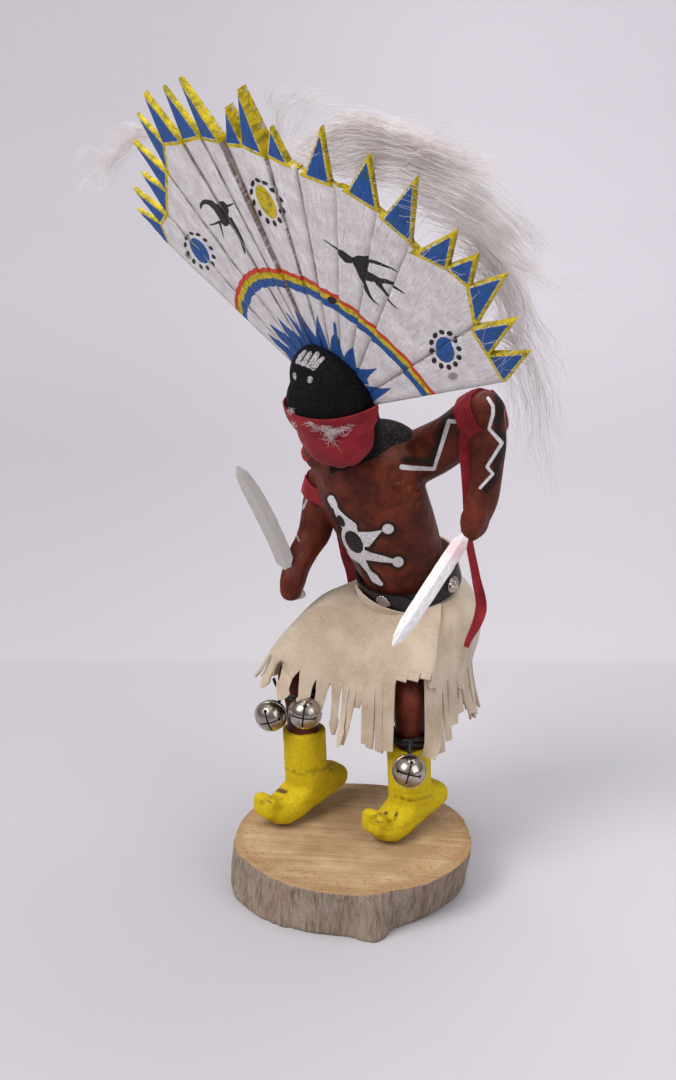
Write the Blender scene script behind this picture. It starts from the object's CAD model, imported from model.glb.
"""A kachina doll: a carved dancing figure with a painted slat fan, fur, a fringed kilt, bells and two swords."""
from math import atan2, copysign, cos, degrees, exp, pi, radians, sin, sqrt

import bmesh
import bpy
import numpy as np
from mathutils import Matrix, Vector
from mathutils.bvhtree import BVHTree
from mathutils.geometry import delaunay_2d_cdt


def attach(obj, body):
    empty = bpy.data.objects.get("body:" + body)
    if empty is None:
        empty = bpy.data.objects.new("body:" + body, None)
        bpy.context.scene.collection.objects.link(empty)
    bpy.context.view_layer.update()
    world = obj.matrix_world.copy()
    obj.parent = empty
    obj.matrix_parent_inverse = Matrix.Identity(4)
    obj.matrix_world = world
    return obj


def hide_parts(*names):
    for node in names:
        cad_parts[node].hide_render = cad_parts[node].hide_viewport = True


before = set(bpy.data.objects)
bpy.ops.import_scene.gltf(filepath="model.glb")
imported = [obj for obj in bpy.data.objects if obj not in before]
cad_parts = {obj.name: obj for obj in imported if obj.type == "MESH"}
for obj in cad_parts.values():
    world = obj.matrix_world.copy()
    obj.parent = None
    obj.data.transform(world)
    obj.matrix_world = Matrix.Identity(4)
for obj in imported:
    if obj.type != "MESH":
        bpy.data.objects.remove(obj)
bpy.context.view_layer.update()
scene = bpy.context.scene
scene.view_settings.view_transform = "Standard"

# Camera

CAMERA_PLACE = Vector((0.4669, -0.4669, 0.3781))
CAMERA_TURN = radians(45.68)
CAMERA_PITCH = radians(-17.04)
FOCAL_PIXELS = 1500.0
PHOTO_SIZE = (676, 1080)

LOOK = Vector((-sin(CAMERA_TURN) * cos(CAMERA_PITCH), cos(CAMERA_TURN) * cos(CAMERA_PITCH), sin(CAMERA_PITCH)))
LOOK_RIGHT = LOOK.cross(Vector((0, 0, 1))).normalized()
LOOK_UP = LOOK_RIGHT.cross(LOOK)


def sight_line(px, py):
    """The direction in which the camera sees a point of the picture."""
    across = (px - PHOTO_SIZE[0] / 2) / FOCAL_PIXELS
    down = (py - PHOTO_SIZE[1] / 2) / FOCAL_PIXELS
    return LOOK + LOOK_RIGHT * across - LOOK_UP * down



def add_camera():
    lens = bpy.data.cameras.new("camera")
    lens.sensor_fit = "VERTICAL"
    lens.sensor_height = 36.0
    lens.lens = 36.0 * FOCAL_PIXELS / PHOTO_SIZE[1]
    lens.clip_start = 0.01
    lens.clip_end = 20.0
    made = bpy.data.objects.new("camera", lens)
    scene.collection.objects.link(made)
    basis = Matrix((LOOK_RIGHT, LOOK_UP, -LOOK)).transposed().to_4x4()
    made.matrix_world = Matrix.Translation(CAMERA_PLACE) @ basis
    scene.camera = made


add_camera()


# Sizes of the figure

BASE_RADIUS = 0.0575
BASE_HEIGHT = 0.0225
BASE_OFF = (-0.0036, 0.0034)
MIDLINE = -0.017
LEAN = 21.0
BODY_VOXEL = 0.0009

FAN_PIVOT = Vector((-0.0166, 0.0073, 0.2324))
FAN_BACK = Vector((0.119, 0.839, 0.532)).normalized()
FAN_UP = Vector((0.102, -0.543, 0.834)).normalized()
FAN_CONE = radians(84.7)
FAN_SIDE = FAN_UP.cross(-FAN_BACK).normalized()
FAN_UP = FAN_BACK.cross(FAN_SIDE).normalized()
if FAN_SIDE.x < 0:
    FAN_SIDE = -FAN_SIDE
if FAN_UP.z < 0:
    FAN_UP = -FAN_UP


# Mesh helpers

def new_object(name, mesh, material):
    made = bpy.data.objects.new(name, mesh)
    scene.collection.objects.link(made)
    mesh.materials.clear()
    mesh.materials.append(material)
    return made


def finished(made, *nodes):
    """Rides on the one body and stands for its solids."""
    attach(made, "root")
    if nodes:
        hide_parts(*nodes)
    return made


def smooth(mesh, angle=40):
    mesh.shade_smooth()
    mesh.set_sharp_from_angle(angle=radians(angle))


def mesh_from(name, bm, angle=40):
    bmesh.ops.recalc_face_normals(bm, faces=bm.faces)
    mesh = bpy.data.meshes.new(name)
    bm.to_mesh(mesh)
    bm.free()
    smooth(mesh, angle)
    return mesh


def skin(bm, rows, close_ends=True, closed_path=False):
    laid = [[bm.verts.new(p) for p in row] for row in rows]
    count = len(laid[0])
    pairs = list(zip(laid, laid[1:]))
    if closed_path:
        pairs.append((laid[-1], laid[0]))
    for low, high in pairs:
        for k in range(count):
            n = (k + 1) % count
            bm.faces.new((low[k], low[n], high[n], high[k]))
    if close_ends and not closed_path:
        bm.faces.new(list(reversed(laid[0])))
        bm.faces.new(laid[-1])


def oval(centre, axis, side, half_side, half_front, count=20, power=2.0):
    axis = axis.normalized()
    side = (side - axis * side.dot(axis)).normalized()
    front = axis.cross(side)
    row = []
    for k in range(count):
        turn = 2 * pi * k / count
        c = cos(turn)
        s = sin(turn)
        x = half_side * copysign(abs(c) ** (2 / power), c)
        y = half_front * copysign(abs(s) ** (2 / power), s)
        row.append(centre + side * x + front * y)
    return row


def limb(bm, stations, side=Vector((1, 0, 0)), count=32, power=2.0):
    centres = [Vector(s[0]) for s in stations]
    rows = []
    last = len(stations) - 1
    for i, (centre, wide, deep) in enumerate(stations):
        axis = (centres[min(i + 1, last)] - centres[max(i - 1, 0)]).normalized()
        if i == 0:
            for t in (80, 55, 28):
                turn = radians(t)
                back = Vector(centre) - axis * min(wide, deep) * sin(turn)
                rows.append(oval(back, axis, side, wide * cos(turn), deep * cos(turn), count, power))
        rows.append(oval(Vector(centre), axis, side, wide, deep, count, power))
        if i == last:
            for t in (28, 55, 80):
                turn = radians(t)
                ahead = Vector(centre) + axis * min(wide, deep) * sin(turn)
                rows.append(oval(ahead, axis, side, wide * cos(turn), deep * cos(turn), count, power))
    skin(bm, rows)


def smooth_stations(stations, steps=4):
    """More stations on smooth curves through the given ones."""
    table = np.array([list(s[0]) + [s[1], s[2]] for s in stations])
    padded = np.vstack([2 * table[0] - table[1], table, 2 * table[-1] - table[-2]])
    fine = []
    for i in range(1, len(padded) - 2):
        p0, p1, p2, p3 = padded[i - 1:i + 3]
        for step in range(steps):
            t = step / steps
            fine.append(0.5 * ((2 * p1) + (p2 - p0) * t + (2 * p0 - 5 * p1 + 4 * p2 - p3) * t * t
                               + (3 * p1 - p0 - 3 * p2 + p3) * t ** 3))
    fine.append(table[-1])
    return [(tuple(row[:3]), row[3], row[4]) for row in fine]


def ball(bm, centre, radii, turn=None, rings=20, count=32):
    move = Matrix.Translation(Vector(centre))
    if turn is not None:
        move = move @ turn.to_4x4()
    size = Matrix.Diagonal((radii[0], radii[1], radii[2], 1.0))
    bmesh.ops.create_uvsphere(bm, u_segments=count, v_segments=rings, radius=1.0, matrix=move @ size)


def applied(mesh, name, steps):
    """The mesh after modifiers, each given as (type, settings)."""
    holder = bpy.data.objects.new(name + "_holder", mesh)
    scene.collection.objects.link(holder)
    for kind, settings in steps:
        step = holder.modifiers.new(kind.lower(), kind)
        for key, value in settings.items():
            setattr(step, key, value)
    bpy.context.view_layer.update()
    graph = bpy.context.evaluated_depsgraph_get()
    done = bpy.data.meshes.new_from_object(holder.evaluated_get(graph))
    bpy.data.objects.remove(holder, do_unlink=True)
    return done


def vertices_of(mesh):
    table = np.empty(len(mesh.vertices) * 3)
    mesh.vertices.foreach_get("co", table)
    return table.reshape(-1, 3)


def normals_of(mesh):
    table = np.empty(len(mesh.vertices) * 3, dtype=np.float32)
    mesh.vertex_normals.foreach_get("vector", table)
    return table.reshape(-1, 3).astype(float)


def put_vertices(mesh, table):
    mesh.vertices.foreach_set("co", table.astype(np.float32).ravel())
    mesh.update()


def add_value(mesh, name, values):
    layer = mesh.attributes.new(name, "FLOAT", "POINT")
    layer.data.foreach_set("value", np.asarray(values, dtype=np.float32))


def add_vector(mesh, name, values):
    layer = mesh.attributes.new(name, "FLOAT_VECTOR", "POINT")
    layer.data.foreach_set("vector", np.asarray(values, dtype=np.float32).ravel())


# Smooth noise in numpy, for carved and worn shapes

LATTICE = np.random.default_rng(5).random((32, 32, 32)) * 2 - 1


def noise(points, scale, seed=0.0):
    """Smooth value noise from -1 to 1 at points, in metres, with features about scale metres wide."""
    q = points / scale + seed * 7.31
    cell = np.floor(q).astype(int)
    f = q - cell
    f = f * f * (3 - 2 * f)
    total = 0.0
    for dx in (0, 1):
        wx = f[:, 0] if dx else 1 - f[:, 0]
        for dy in (0, 1):
            wy = f[:, 1] if dy else 1 - f[:, 1]
            for dz in (0, 1):
                wz = f[:, 2] if dz else 1 - f[:, 2]
                value = LATTICE[(cell[:, 0] + dx) % 32, (cell[:, 1] + dy) % 32, (cell[:, 2] + dz) % 32]
                total = total + value * wx * wy * wz
    return total


# Distances for painted shapes

def to_line(xy, points):
    """Distance of each xy to a polyline, and the share along it."""
    best = np.full(len(xy), 1e9)
    share = np.zeros(len(xy))
    points = np.array(points, dtype=float)
    lengths = np.r_[0, np.cumsum(np.linalg.norm(np.diff(points, axis=0), axis=1))]
    for i in range(len(points) - 1):
        a = points[i]
        b = points[i + 1]
        d = b - a
        t = np.clip(((xy - a) @ d) / (d @ d), 0, 1)
        gap = np.linalg.norm(xy - a - t[:, None] * d, axis=1)
        near = gap < best
        best[near] = gap[near]
        share[near] = (lengths[i] + t[near] * (lengths[i + 1] - lengths[i])) / lengths[-1]
    return best, share


def stroke(xy, points, widths):
    """A brush stroke whose half width runs through widths: below 0 inside."""
    gap, share = to_line(xy, points)
    return gap - np.interp(share, np.linspace(0, 1, len(widths)), widths)


def polygon(xy, points):
    """Signed distance to a polygon: below 0 inside."""
    points = np.array(points, dtype=float)
    closed = np.vstack([points, points[:1]])
    gap = to_line(xy, closed)[0]
    inside = np.zeros(len(xy), dtype=bool)
    for a, b in zip(closed[:-1], closed[1:]):
        cross = (a[1] > xy[:, 1]) != (b[1] > xy[:, 1])
        at = a[0] + (xy[:, 1] - a[1]) * (b[0] - a[0]) / (b[1] - a[1] if b[1] != a[1] else 1e-9)
        inside ^= cross & (xy[:, 0] < at)
    return np.where(inside, -gap, gap)


def spot(xy, centre, radius, other=None, turn=0.0):
    """An ellipse: below 0 inside."""
    other = radius if other is None else other
    d = xy - np.array(centre)
    c = cos(radians(turn))
    s = sin(radians(turn))
    a = d[:, 0] * c + d[:, 1] * s
    b = -d[:, 0] * s + d[:, 1] * c
    size = np.sqrt((a / radius) ** 2 + (b / other) ** 2)
    return (size - 1) * min(radius, other)


def union(*fields):
    return np.minimum.reduce(fields)


# Materials

def rgb(text):
    """A linear colour from a hex one."""
    parts = [int(text[i:i + 2], 16) / 255 for i in (1, 3, 5)]
    return tuple(p / 12.92 if p <= 0.04045 else ((p + 0.055) / 1.055) ** 2.4 for p in parts) + (1.0,)


class Paint:
    """Builds one node material."""

    def __init__(self, name, roughness=0.6, metallic=0.0, coat=0.0, coat_roughness=0.2, sheen=0.0, specular=0.5):
        self.material = bpy.data.materials.new(name)
        self.material.use_nodes = True
        self.tree = self.material.node_tree
        self.shader = self.tree.nodes["Principled BSDF"]
        self.shader.inputs["Roughness"].default_value = roughness
        self.shader.inputs["Metallic"].default_value = metallic
        self.shader.inputs["Coat Weight"].default_value = coat
        self.shader.inputs["Coat Roughness"].default_value = coat_roughness
        self.shader.inputs["Sheen Weight"].default_value = sheen
        self.shader.inputs["Sheen Roughness"].default_value = 0.5
        self.shader.inputs["Specular IOR Level"].default_value = specular

    def node(self, kind, **settings):
        made = self.tree.nodes.new(kind)
        for key, value in settings.items():
            setattr(made, key, value)
        return made

    def link(self, source, socket):
        self.tree.links.new(source, socket)

    def set(self, socket, value):
        if isinstance(value, bpy.types.NodeSocket):
            self.link(value, socket)
        else:
            socket.default_value = value

    def place(self, stretch=(1, 1, 1), attribute=None):
        """Object coordinates, or a stored vector, stretched."""
        if attribute:
            source = self.node("ShaderNodeAttribute", attribute_name=attribute).outputs["Vector"]
        else:
            source = self.node("ShaderNodeTexCoord").outputs["Object"]
        mapping = self.node("ShaderNodeMapping")
        mapping.inputs["Scale"].default_value = stretch
        self.link(source, mapping.inputs["Vector"])
        return mapping.outputs["Vector"]

    def noise(self, place, scale, detail=4.0, rough=0.55, distort=0.0):
        made = self.node("ShaderNodeTexNoise")
        self.link(place, made.inputs["Vector"])
        made.inputs["Scale"].default_value = scale
        made.inputs["Detail"].default_value = detail
        made.inputs["Roughness"].default_value = rough
        made.inputs["Distortion"].default_value = distort
        return made.outputs["Fac"]

    def cells(self, place, scale, feature="F1"):
        made = self.node("ShaderNodeTexVoronoi", feature=feature)
        self.link(place, made.inputs["Vector"])
        made.inputs["Scale"].default_value = scale
        return made.outputs["Distance"]

    def value(self, name):
        return self.node("ShaderNodeAttribute", attribute_name=name).outputs["Fac"]

    def math(self, operation, a, b=0.0, c=None):
        made = self.node("ShaderNodeMath", operation=operation)
        self.set(made.inputs[0], a)
        self.set(made.inputs[1], b)
        if c is not None:
            self.set(made.inputs[2], c)
        return made.outputs[0]

    def span(self, source, low, high, to_low=0.0, to_high=1.0):
        made = self.node("ShaderNodeMapRange", interpolation_type="SMOOTHSTEP")
        self.link(source, made.inputs["Value"])
        made.inputs["From Min"].default_value = low
        made.inputs["From Max"].default_value = high
        made.inputs["To Min"].default_value = to_low
        made.inputs["To Max"].default_value = to_high
        return made.outputs["Result"]

    def mix(self, share, a, b, blend="MIX"):
        made = self.node("ShaderNodeMix", data_type="RGBA", blend_type=blend)
        self.set(made.inputs["Factor"], share)
        self.set(made.inputs[6], a)
        self.set(made.inputs[7], b)
        return made.outputs[2]

    def inside(self, name, ragged=None, amount=0.0, soft=0.08):
        """1 inside a painted shape whose distance is stored, with a hand-made edge."""
        field = self.value(name)
        if ragged is not None:
            wander = self.math("MULTIPLY_ADD", ragged, amount * 2, -amount)
            field = self.math("ADD", field, wander)
        return self.span(field, soft, -soft)

    def bump(self, height, strength, distance, under=None):
        made = self.node("ShaderNodeBump")
        made.inputs["Strength"].default_value = strength
        made.inputs["Distance"].default_value = distance
        self.link(height, made.inputs["Height"])
        if under is not None:
            self.link(under, made.inputs["Normal"])
        return made.outputs["Normal"]

    def finish(self, colour=None, roughness=None, normal=None):
        if colour is not None:
            self.set(self.shader.inputs["Base Color"], colour)
        if roughness is not None:
            self.set(self.shader.inputs["Roughness"], roughness)
        if normal is not None:
            self.link(normal, self.shader.inputs["Normal"])
        return self.material


# The carved body

SPINE = [
    ((MIDLINE, 0.052, 0.106), 0.0215, 0.0175),
    ((MIDLINE, 0.054, 0.122), 0.0235, 0.0185),
    ((MIDLINE + 0.0005, 0.0525, 0.139), 0.0226, 0.0182),
    ((MIDLINE, 0.0455, 0.157), 0.0252, 0.0202),
    ((MIDLINE, 0.0365, 0.174), 0.0285, 0.0210),
    ((MIDLINE - 0.0005, 0.0285, 0.190), 0.0310, 0.0208),
    ((MIDLINE - 0.0005, 0.0245, 0.203), 0.0295, 0.0190),
]
HUMP_CENTRE = Vector((MIDLINE + 0.0015, 0.0310, 0.2085))
HUMP_RADII = (0.0220, 0.0215, 0.0168)
HEAD_CENTRE = FAN_PIVOT + FAN_UP * 0.0155 + FAN_SIDE * 0.0022
HEAD_RADII = (0.0242, 0.0150, 0.0226)
CHEEK_CENTRE = Vector((-0.0148, -0.0044, 0.2395))
CHEEK_RADII = (0.0182, 0.0178, 0.0178)
JAW_CENTRE = Vector((-0.0143, 0.0042, 0.2278))
JAW_RADII = (0.0190, 0.0180, 0.0188)
SHOULDER = (-0.0370, 0.0190, 0.2085)
SHOULDER_RADII = (0.0125, 0.0125, 0.0115)
LEFT_ARM = [
    ((-0.006, 0.036, 0.204), 0.0130, 0.0130),
    ((0.008, 0.041, 0.212), 0.0128, 0.0124),
    ((0.022, 0.043, 0.2215), 0.0118, 0.0114),
    ((0.033, 0.042, 0.2310), 0.0106, 0.0104),
    ((0.0405, 0.041, 0.2360), 0.0098, 0.0098),
]
LEFT_FOREARM = [
    ((0.0410, 0.041, 0.2360), 0.0090, 0.0098),
    ((0.0440, 0.040, 0.2240), 0.0078, 0.0092),
    ((0.0445, 0.039, 0.2100), 0.0068, 0.0088),
    ((0.0445, 0.038, 0.1980), 0.0060, 0.0082),
    ((0.0425, 0.0365, 0.1890), 0.0052, 0.0075),
]
LEFT_FIST = Vector((0.0415, 0.0355, 0.1865))
LEFT_FIST_RADII = (0.0062, 0.0074, 0.0088)
RIGHT_ARM = [
    ((-0.036, 0.026, 0.203), 0.0115, 0.0120),
    ((-0.0445, 0.026, 0.191), 0.0098, 0.0105),
    ((-0.0500, 0.026, 0.177), 0.0086, 0.0096),
    ((-0.0515, 0.023, 0.164), 0.0078, 0.0088),
    ((-0.0510, 0.016, 0.156), 0.0068, 0.0072),
]
RIGHT_FIST = Vector((-0.0500, 0.0070, 0.1420))
RIGHT_HAND = [
    ((-0.0512, 0.0160, 0.1560), 0.0066, 0.0068),
    ((-0.0508, 0.0105, 0.1490), 0.0060, 0.0066),
    ((-0.0502, 0.0068, 0.1420), 0.0058, 0.0072),
    ((-0.0500, 0.0055, 0.1375), 0.0052, 0.0060),
]
LEFT_HAND = [
    ((0.0428, 0.0368, 0.1960), 0.0058, 0.0078),
    ((0.0415, 0.0355, 0.1870), 0.0056, 0.0080),
    ((0.0405, 0.0345, 0.1815), 0.0046, 0.0062),
]
RIGHT_THIGH = [
    ((-0.030, 0.047, 0.115), 0.0150, 0.0155),
    ((-0.036, 0.020, 0.1065), 0.0120, 0.0120),
    ((-0.039, 0.000, 0.0985), 0.0098, 0.0102),
]
RIGHT_SHIN = [
    ((-0.039, -0.001, 0.0975), 0.0095, 0.0100),
    ((-0.0385, 0.001, 0.0850), 0.0080, 0.0085),
    ((-0.038, 0.0025, 0.066), 0.0075, 0.0080),
]
LEFT_THIGH = [
    ((-0.004, 0.050, 0.115), 0.0150, 0.0155),
    ((0.006, 0.036, 0.105), 0.0120, 0.0125),
    ((0.012, 0.026, 0.094), 0.0098, 0.0100),
]
LEFT_SHIN = [
    ((0.012, 0.026, 0.094), 0.0095, 0.0098),
    ((0.012, 0.027, 0.078), 0.0075, 0.0080),
    ((0.012, 0.027, 0.062), 0.0075, 0.0080),
]
SHAFT_TOP = 0.0690
SHAFT_FOOT = 0.0430
SHAFT_RADIUS = 0.0108
FOOT_LENGTHS = (0.92, 0.84)
FOOT_STATIONS = [
    (0.0265, 0.0105, 0.0180, 0.0050),
    (0.0225, 0.0085, 0.0205, 0.0082),
    (0.0120, 0.0060, 0.0235, 0.0094),
    (0.0000, 0.0035, 0.0240, 0.0096),
    (-0.0120, 0.0008, 0.0165, 0.0100),
    (-0.0200, 0.0003, 0.0130, 0.0096),
    (-0.0260, 0.0020, 0.0128, 0.0084),
    (-0.0310, 0.0070, 0.0160, 0.0062),
]
TOE_STATIONS = [
    (-0.0262, 0.0115, 0.0066, 0.0048),
    (-0.0280, 0.0122, 0.0072, 0.0062),
    (-0.0322, 0.0128, 0.0068, 0.0062),
    (-0.0336, 0.0130, 0.0056, 0.0048),
]
ANKLES = (Vector((-0.038, 0.0040, BASE_HEIGHT)), Vector((0.0115, 0.0275, BASE_HEIGHT)))


def foot(bm, ankle, stretch):
    rows = []
    for behind, sole, top, half in FOOT_STATIONS:
        centre = Vector((ankle.x, ankle.y + behind * stretch, ankle.z + (sole + top) / 2))
        deep = (top - sole) / 2
        rows.append(oval(centre, Vector((0, 1, 0)), Vector((1, 0, 0)), half, deep, 24, 2.6))
    skin(bm, rows)
    rows = []
    for behind, height, half, deep in TOE_STATIONS:
        centre = Vector((ankle.x, ankle.y + behind * stretch, ankle.z + height))
        rows.append(oval(centre, Vector((0, 1, 0)), Vector((1, 0, 0)), half, deep, 24, 3.6))
    skin(bm, rows)
    top = Vector((ankle.x, ankle.y - 0.0015, SHAFT_TOP))
    low = Vector((ankle.x, ankle.y, SHAFT_FOOT - 0.004))
    rows = [oval(low, Vector((0, 0, 1)), Vector((1, 0, 0)), SHAFT_RADIUS * 0.96, SHAFT_RADIUS, 28),
            oval(top, Vector((0, 0, 1)), Vector((1, 0, 0)), SHAFT_RADIUS, SHAFT_RADIUS, 28)]
    skin(bm, rows)


def body_mesh():
    """The whole carved body as one skin, before paint."""
    bm = bmesh.new()
    limb(bm, smooth_stations(SPINE))
    ball(bm, HUMP_CENTRE, HUMP_RADII)
    turn = Matrix((FAN_SIDE, FAN_BACK, FAN_UP)).transposed()
    ball(bm, HEAD_CENTRE, HEAD_RADII, turn, rings=28, count=48)
    ball(bm, CHEEK_CENTRE, CHEEK_RADII)
    ball(bm, JAW_CENTRE, JAW_RADII)
    limb(bm, smooth_stations(LEFT_ARM), side=Vector((0, 1, 0)))
    limb(bm, smooth_stations(LEFT_FOREARM))
    ball(bm, LEFT_FIST, LEFT_FIST_RADII)
    ball(bm, SHOULDER, SHOULDER_RADII)
    limb(bm, smooth_stations(RIGHT_ARM))
    limb(bm, smooth_stations(RIGHT_HAND), side=Vector((0.8, 0.5, 0)), power=3.2)
    limb(bm, smooth_stations(LEFT_HAND), side=Vector((0.8, 0.5, 0)), power=3.0)
    for stations in (RIGHT_THIGH, RIGHT_SHIN, LEFT_THIGH, LEFT_SHIN):
        limb(bm, smooth_stations(stations))
    for ankle, stretch in zip(ANKLES, FOOT_LENGTHS):
        foot(bm, ankle, stretch)
    mesh = mesh_from("body_raw", bm)
    remesh = ("REMESH", {"mode": "VOXEL", "voxel_size": BODY_VOXEL})
    ease = ("SMOOTH", {"factor": 0.5, "iterations": 6})
    return applied(mesh, "body", [remesh, ease])


def seen(points):
    """Where points fall on the picture, in its pixels, for painting what the picture shows."""
    d = points - np.array(CAMERA_PLACE)
    depth = d @ np.array(LOOK)
    x = PHOTO_SIZE[0] / 2 + FOCAL_PIXELS * (d @ np.array(LOOK_RIGHT)) / depth
    y = PHOTO_SIZE[1] / 2 - FOCAL_PIXELS * (d @ np.array(LOOK_UP)) / depth
    return np.stack([x, y], axis=1)


def ellipsoid_field(points, centre, radii, axes=None):
    d = points - np.array(centre)
    if axes is not None:
        d = d @ np.array([list(a) for a in axes]).T
    return np.linalg.norm(d / np.array(radii), axis=1)


def paint_body(mesh):
    """Stores how far each point is from each painted shape, in millimetres."""
    co = vertices_of(mesh)
    away = normals_of(mesh)
    px = seen(co)
    facing = away @ -np.array(LOOK)
    mm = 1 / 2.2
    far = np.full(len(co), 9.0)
    wander = noise(co, 0.004, 1) * 0.5 + noise(co, 0.0015, 2) * 0.3

    crown = ellipsoid_field(co, HEAD_CENTRE, HEAD_RADII, (FAN_SIDE, FAN_BACK, FAN_UP))
    cheek = ellipsoid_field(co, CHEEK_CENTRE, CHEEK_RADII)
    jaw = ellipsoid_field(co, JAW_CENTRE, JAW_RADII)
    head = np.minimum(np.minimum(crown, cheek), jaw)
    hump = ellipsoid_field(co, HUMP_CENTRE, HUMP_RADII)
    hair_edge = polygon(px, [(330, 474), (352, 467), (373, 459), (392, 447), (412, 438), (412, 425),
                             (399, 412), (380, 400), (340, 430), (318, 455)]) * mm
    hair = np.where((facing > 0.05) & (px[:, 0] > 330), hair_edge, (hump - 1.06) * 18)
    hair = np.where(co[:, 2] < 0.200, 9.0, hair)
    black = np.minimum((head - 1.09) * 16, hair) + wander * 0.8
    black = np.where((co[:, 0] > 0.014) | (co[:, 2] < 0.199), 9.0, black)

    front = facing > 0.0
    star = union(
        stroke(px, [(331, 499), (334, 505)], [3.6, 3.4]),
        stroke(px, [(334, 505), (338, 513), (343, 520), (350, 528)], [1.6, 3.2, 5.0, 7.0]),
        spot(px, (353, 541), 9.5, 17.0, -27),
        polygon(px, [(350, 530), (358, 532), (370, 532), (383, 530), (376, 538), (369, 547), (360, 546)]),
        spot(px, (388, 529), 5.8, 5.0),
        polygon(px, [(360, 548), (372, 553), (384, 556), (393, 559), (393, 563), (380, 562), (366, 560), (357, 556)]),
        spot(px, (398, 562), 5.6, 5.2),
        stroke(px, [(352, 553), (362, 561), (369, 572)], [5.0, 3.6, 1.9]),
        stroke(px, [(369, 572), (376, 580), (381, 584)], [1.9, 4.0, 2.0]),
    )
    star_dark = union(spot(px, (354, 542), 7.4, 12.6, -33), spot(px, (341, 521), 3.0, 6.6, -30))
    zig_arm = stroke(px, [(402, 467), (410, 468), (434, 469), (441, 447), (449, 421), (460, 422), (474, 431)],
                     [2.6, 2.2, 1.7, 2.0, 2.2, 2.0, 1.6])
    zig_fore = stroke(px, [(488, 398), (493, 406), (493, 414), (489, 429), (502, 443), (487, 467), (493, 474),
                           (480, 488)], [1.6, 1.9, 1.5, 2.0, 1.7, 1.6, 1.5, 1.5])
    zig_right = union(stroke(px, [(307, 499), (303, 508)], [1.0, 1.4]),
                      stroke(px, [(296, 534), (299, 541)], [1.0, 0.8]))
    eyes = union(spot(px, (294.6, 376), 1.7, 3.4, -8), spot(px, (309.8, 379.6), 2.9, 3.5, 10))
    brow = union(stroke(px, [(297, 362), (301, 356), (305, 351)], [1.8, 2.3, 1.4]),
                 stroke(px, [(303, 364), (307, 358), (310, 353)], [2.2, 2.4, 1.8]),
                 stroke(px, [(309, 366), (313, 361), (317, 354)], [2.2, 2.6, 2.4]),
                 stroke(px, [(313, 369), (317, 364), (323, 358)], [1.8, 2.6, 1.6]),
                 stroke(px, [(297, 362), (303, 364), (310, 367)], [1.2, 1.6, 1.4]))
    white = union(star, zig_arm, zig_fore)
    white = np.where(front, white * mm, 9.0)
    worn = np.where(front, union(brow, eyes, zig_right) * mm, 9.0)
    dark = np.where(front, star_dark * mm, 9.0)
    shade_arm = to_line(px, [(405, 460), (430, 463), (438, 445), (446, 418), (462, 416), (474, 424)])[0] - 2.0
    shade_fore = to_line(px, [(498, 396), (500, 412), (497, 428), (506, 440), (497, 462), (496, 478), (486, 489)])[0] - 2
    shade_star = star - 1.2
    shade = np.where(front, union(shade_arm, shade_fore, shade_star) * mm, 9.0)

    shaft = (co[:, 2] - SHAFT_TOP) * 1000 + wander * 0.7
    yellow = np.where(co[:, 2] < 0.074, shaft, 9.0)
    bare = union(spot(px, (281, 791), 5.2, 2.2, 14), spot(px, (396, 815), 1.8, 4.0, 20), spot(px, (386, 813), 1.6, 1.8),
                 spot(px, (331, 770), 1.6, 2.2, 30), spot(px, (270, 802), 2.4, 1.0, 30), spot(px, (378, 822), 3.2,
                                                                                              0.9, 14))
    bare = np.where(front, bare * mm, 9.0) + wander * 0.8
    patch = np.where(front, to_line(px, [(400, 478), (414, 492), (418, 503)])[0] * mm, 9.0)
    hump_only = np.where((head - 1.09) * 16 > 0.8, black, 9.0)
    creases = union(stroke(px, [(262, 802), (272, 796), (281, 799)], [1.0, 1.3, 0.6]),
                    stroke(px, [(371, 818), (380, 814), (391, 822)], [1.0, 1.2, 0.6]),
                    stroke(px, [(284, 768), (300, 774), (322, 770), (334, 762)], [0.5, 0.6, 0.8, 0.6]),
                    stroke(px, [(396, 796), (412, 801), (430, 796)], [0.5, 0.6, 0.5]))
    crease = np.where(front, np.clip(1 - creases / 2.6, 0, 1), 0.0)
    add_value(mesh, "crease", crease)
    for name, field in (("black", black), ("white", white), ("worn_white", worn), ("dark", dark), ("shade", shade),
                        ("yellow", yellow), ("bare", bare), ("patch", patch), ("hump", hump_only)):
        add_value(mesh, name, np.minimum(field, far))


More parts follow.
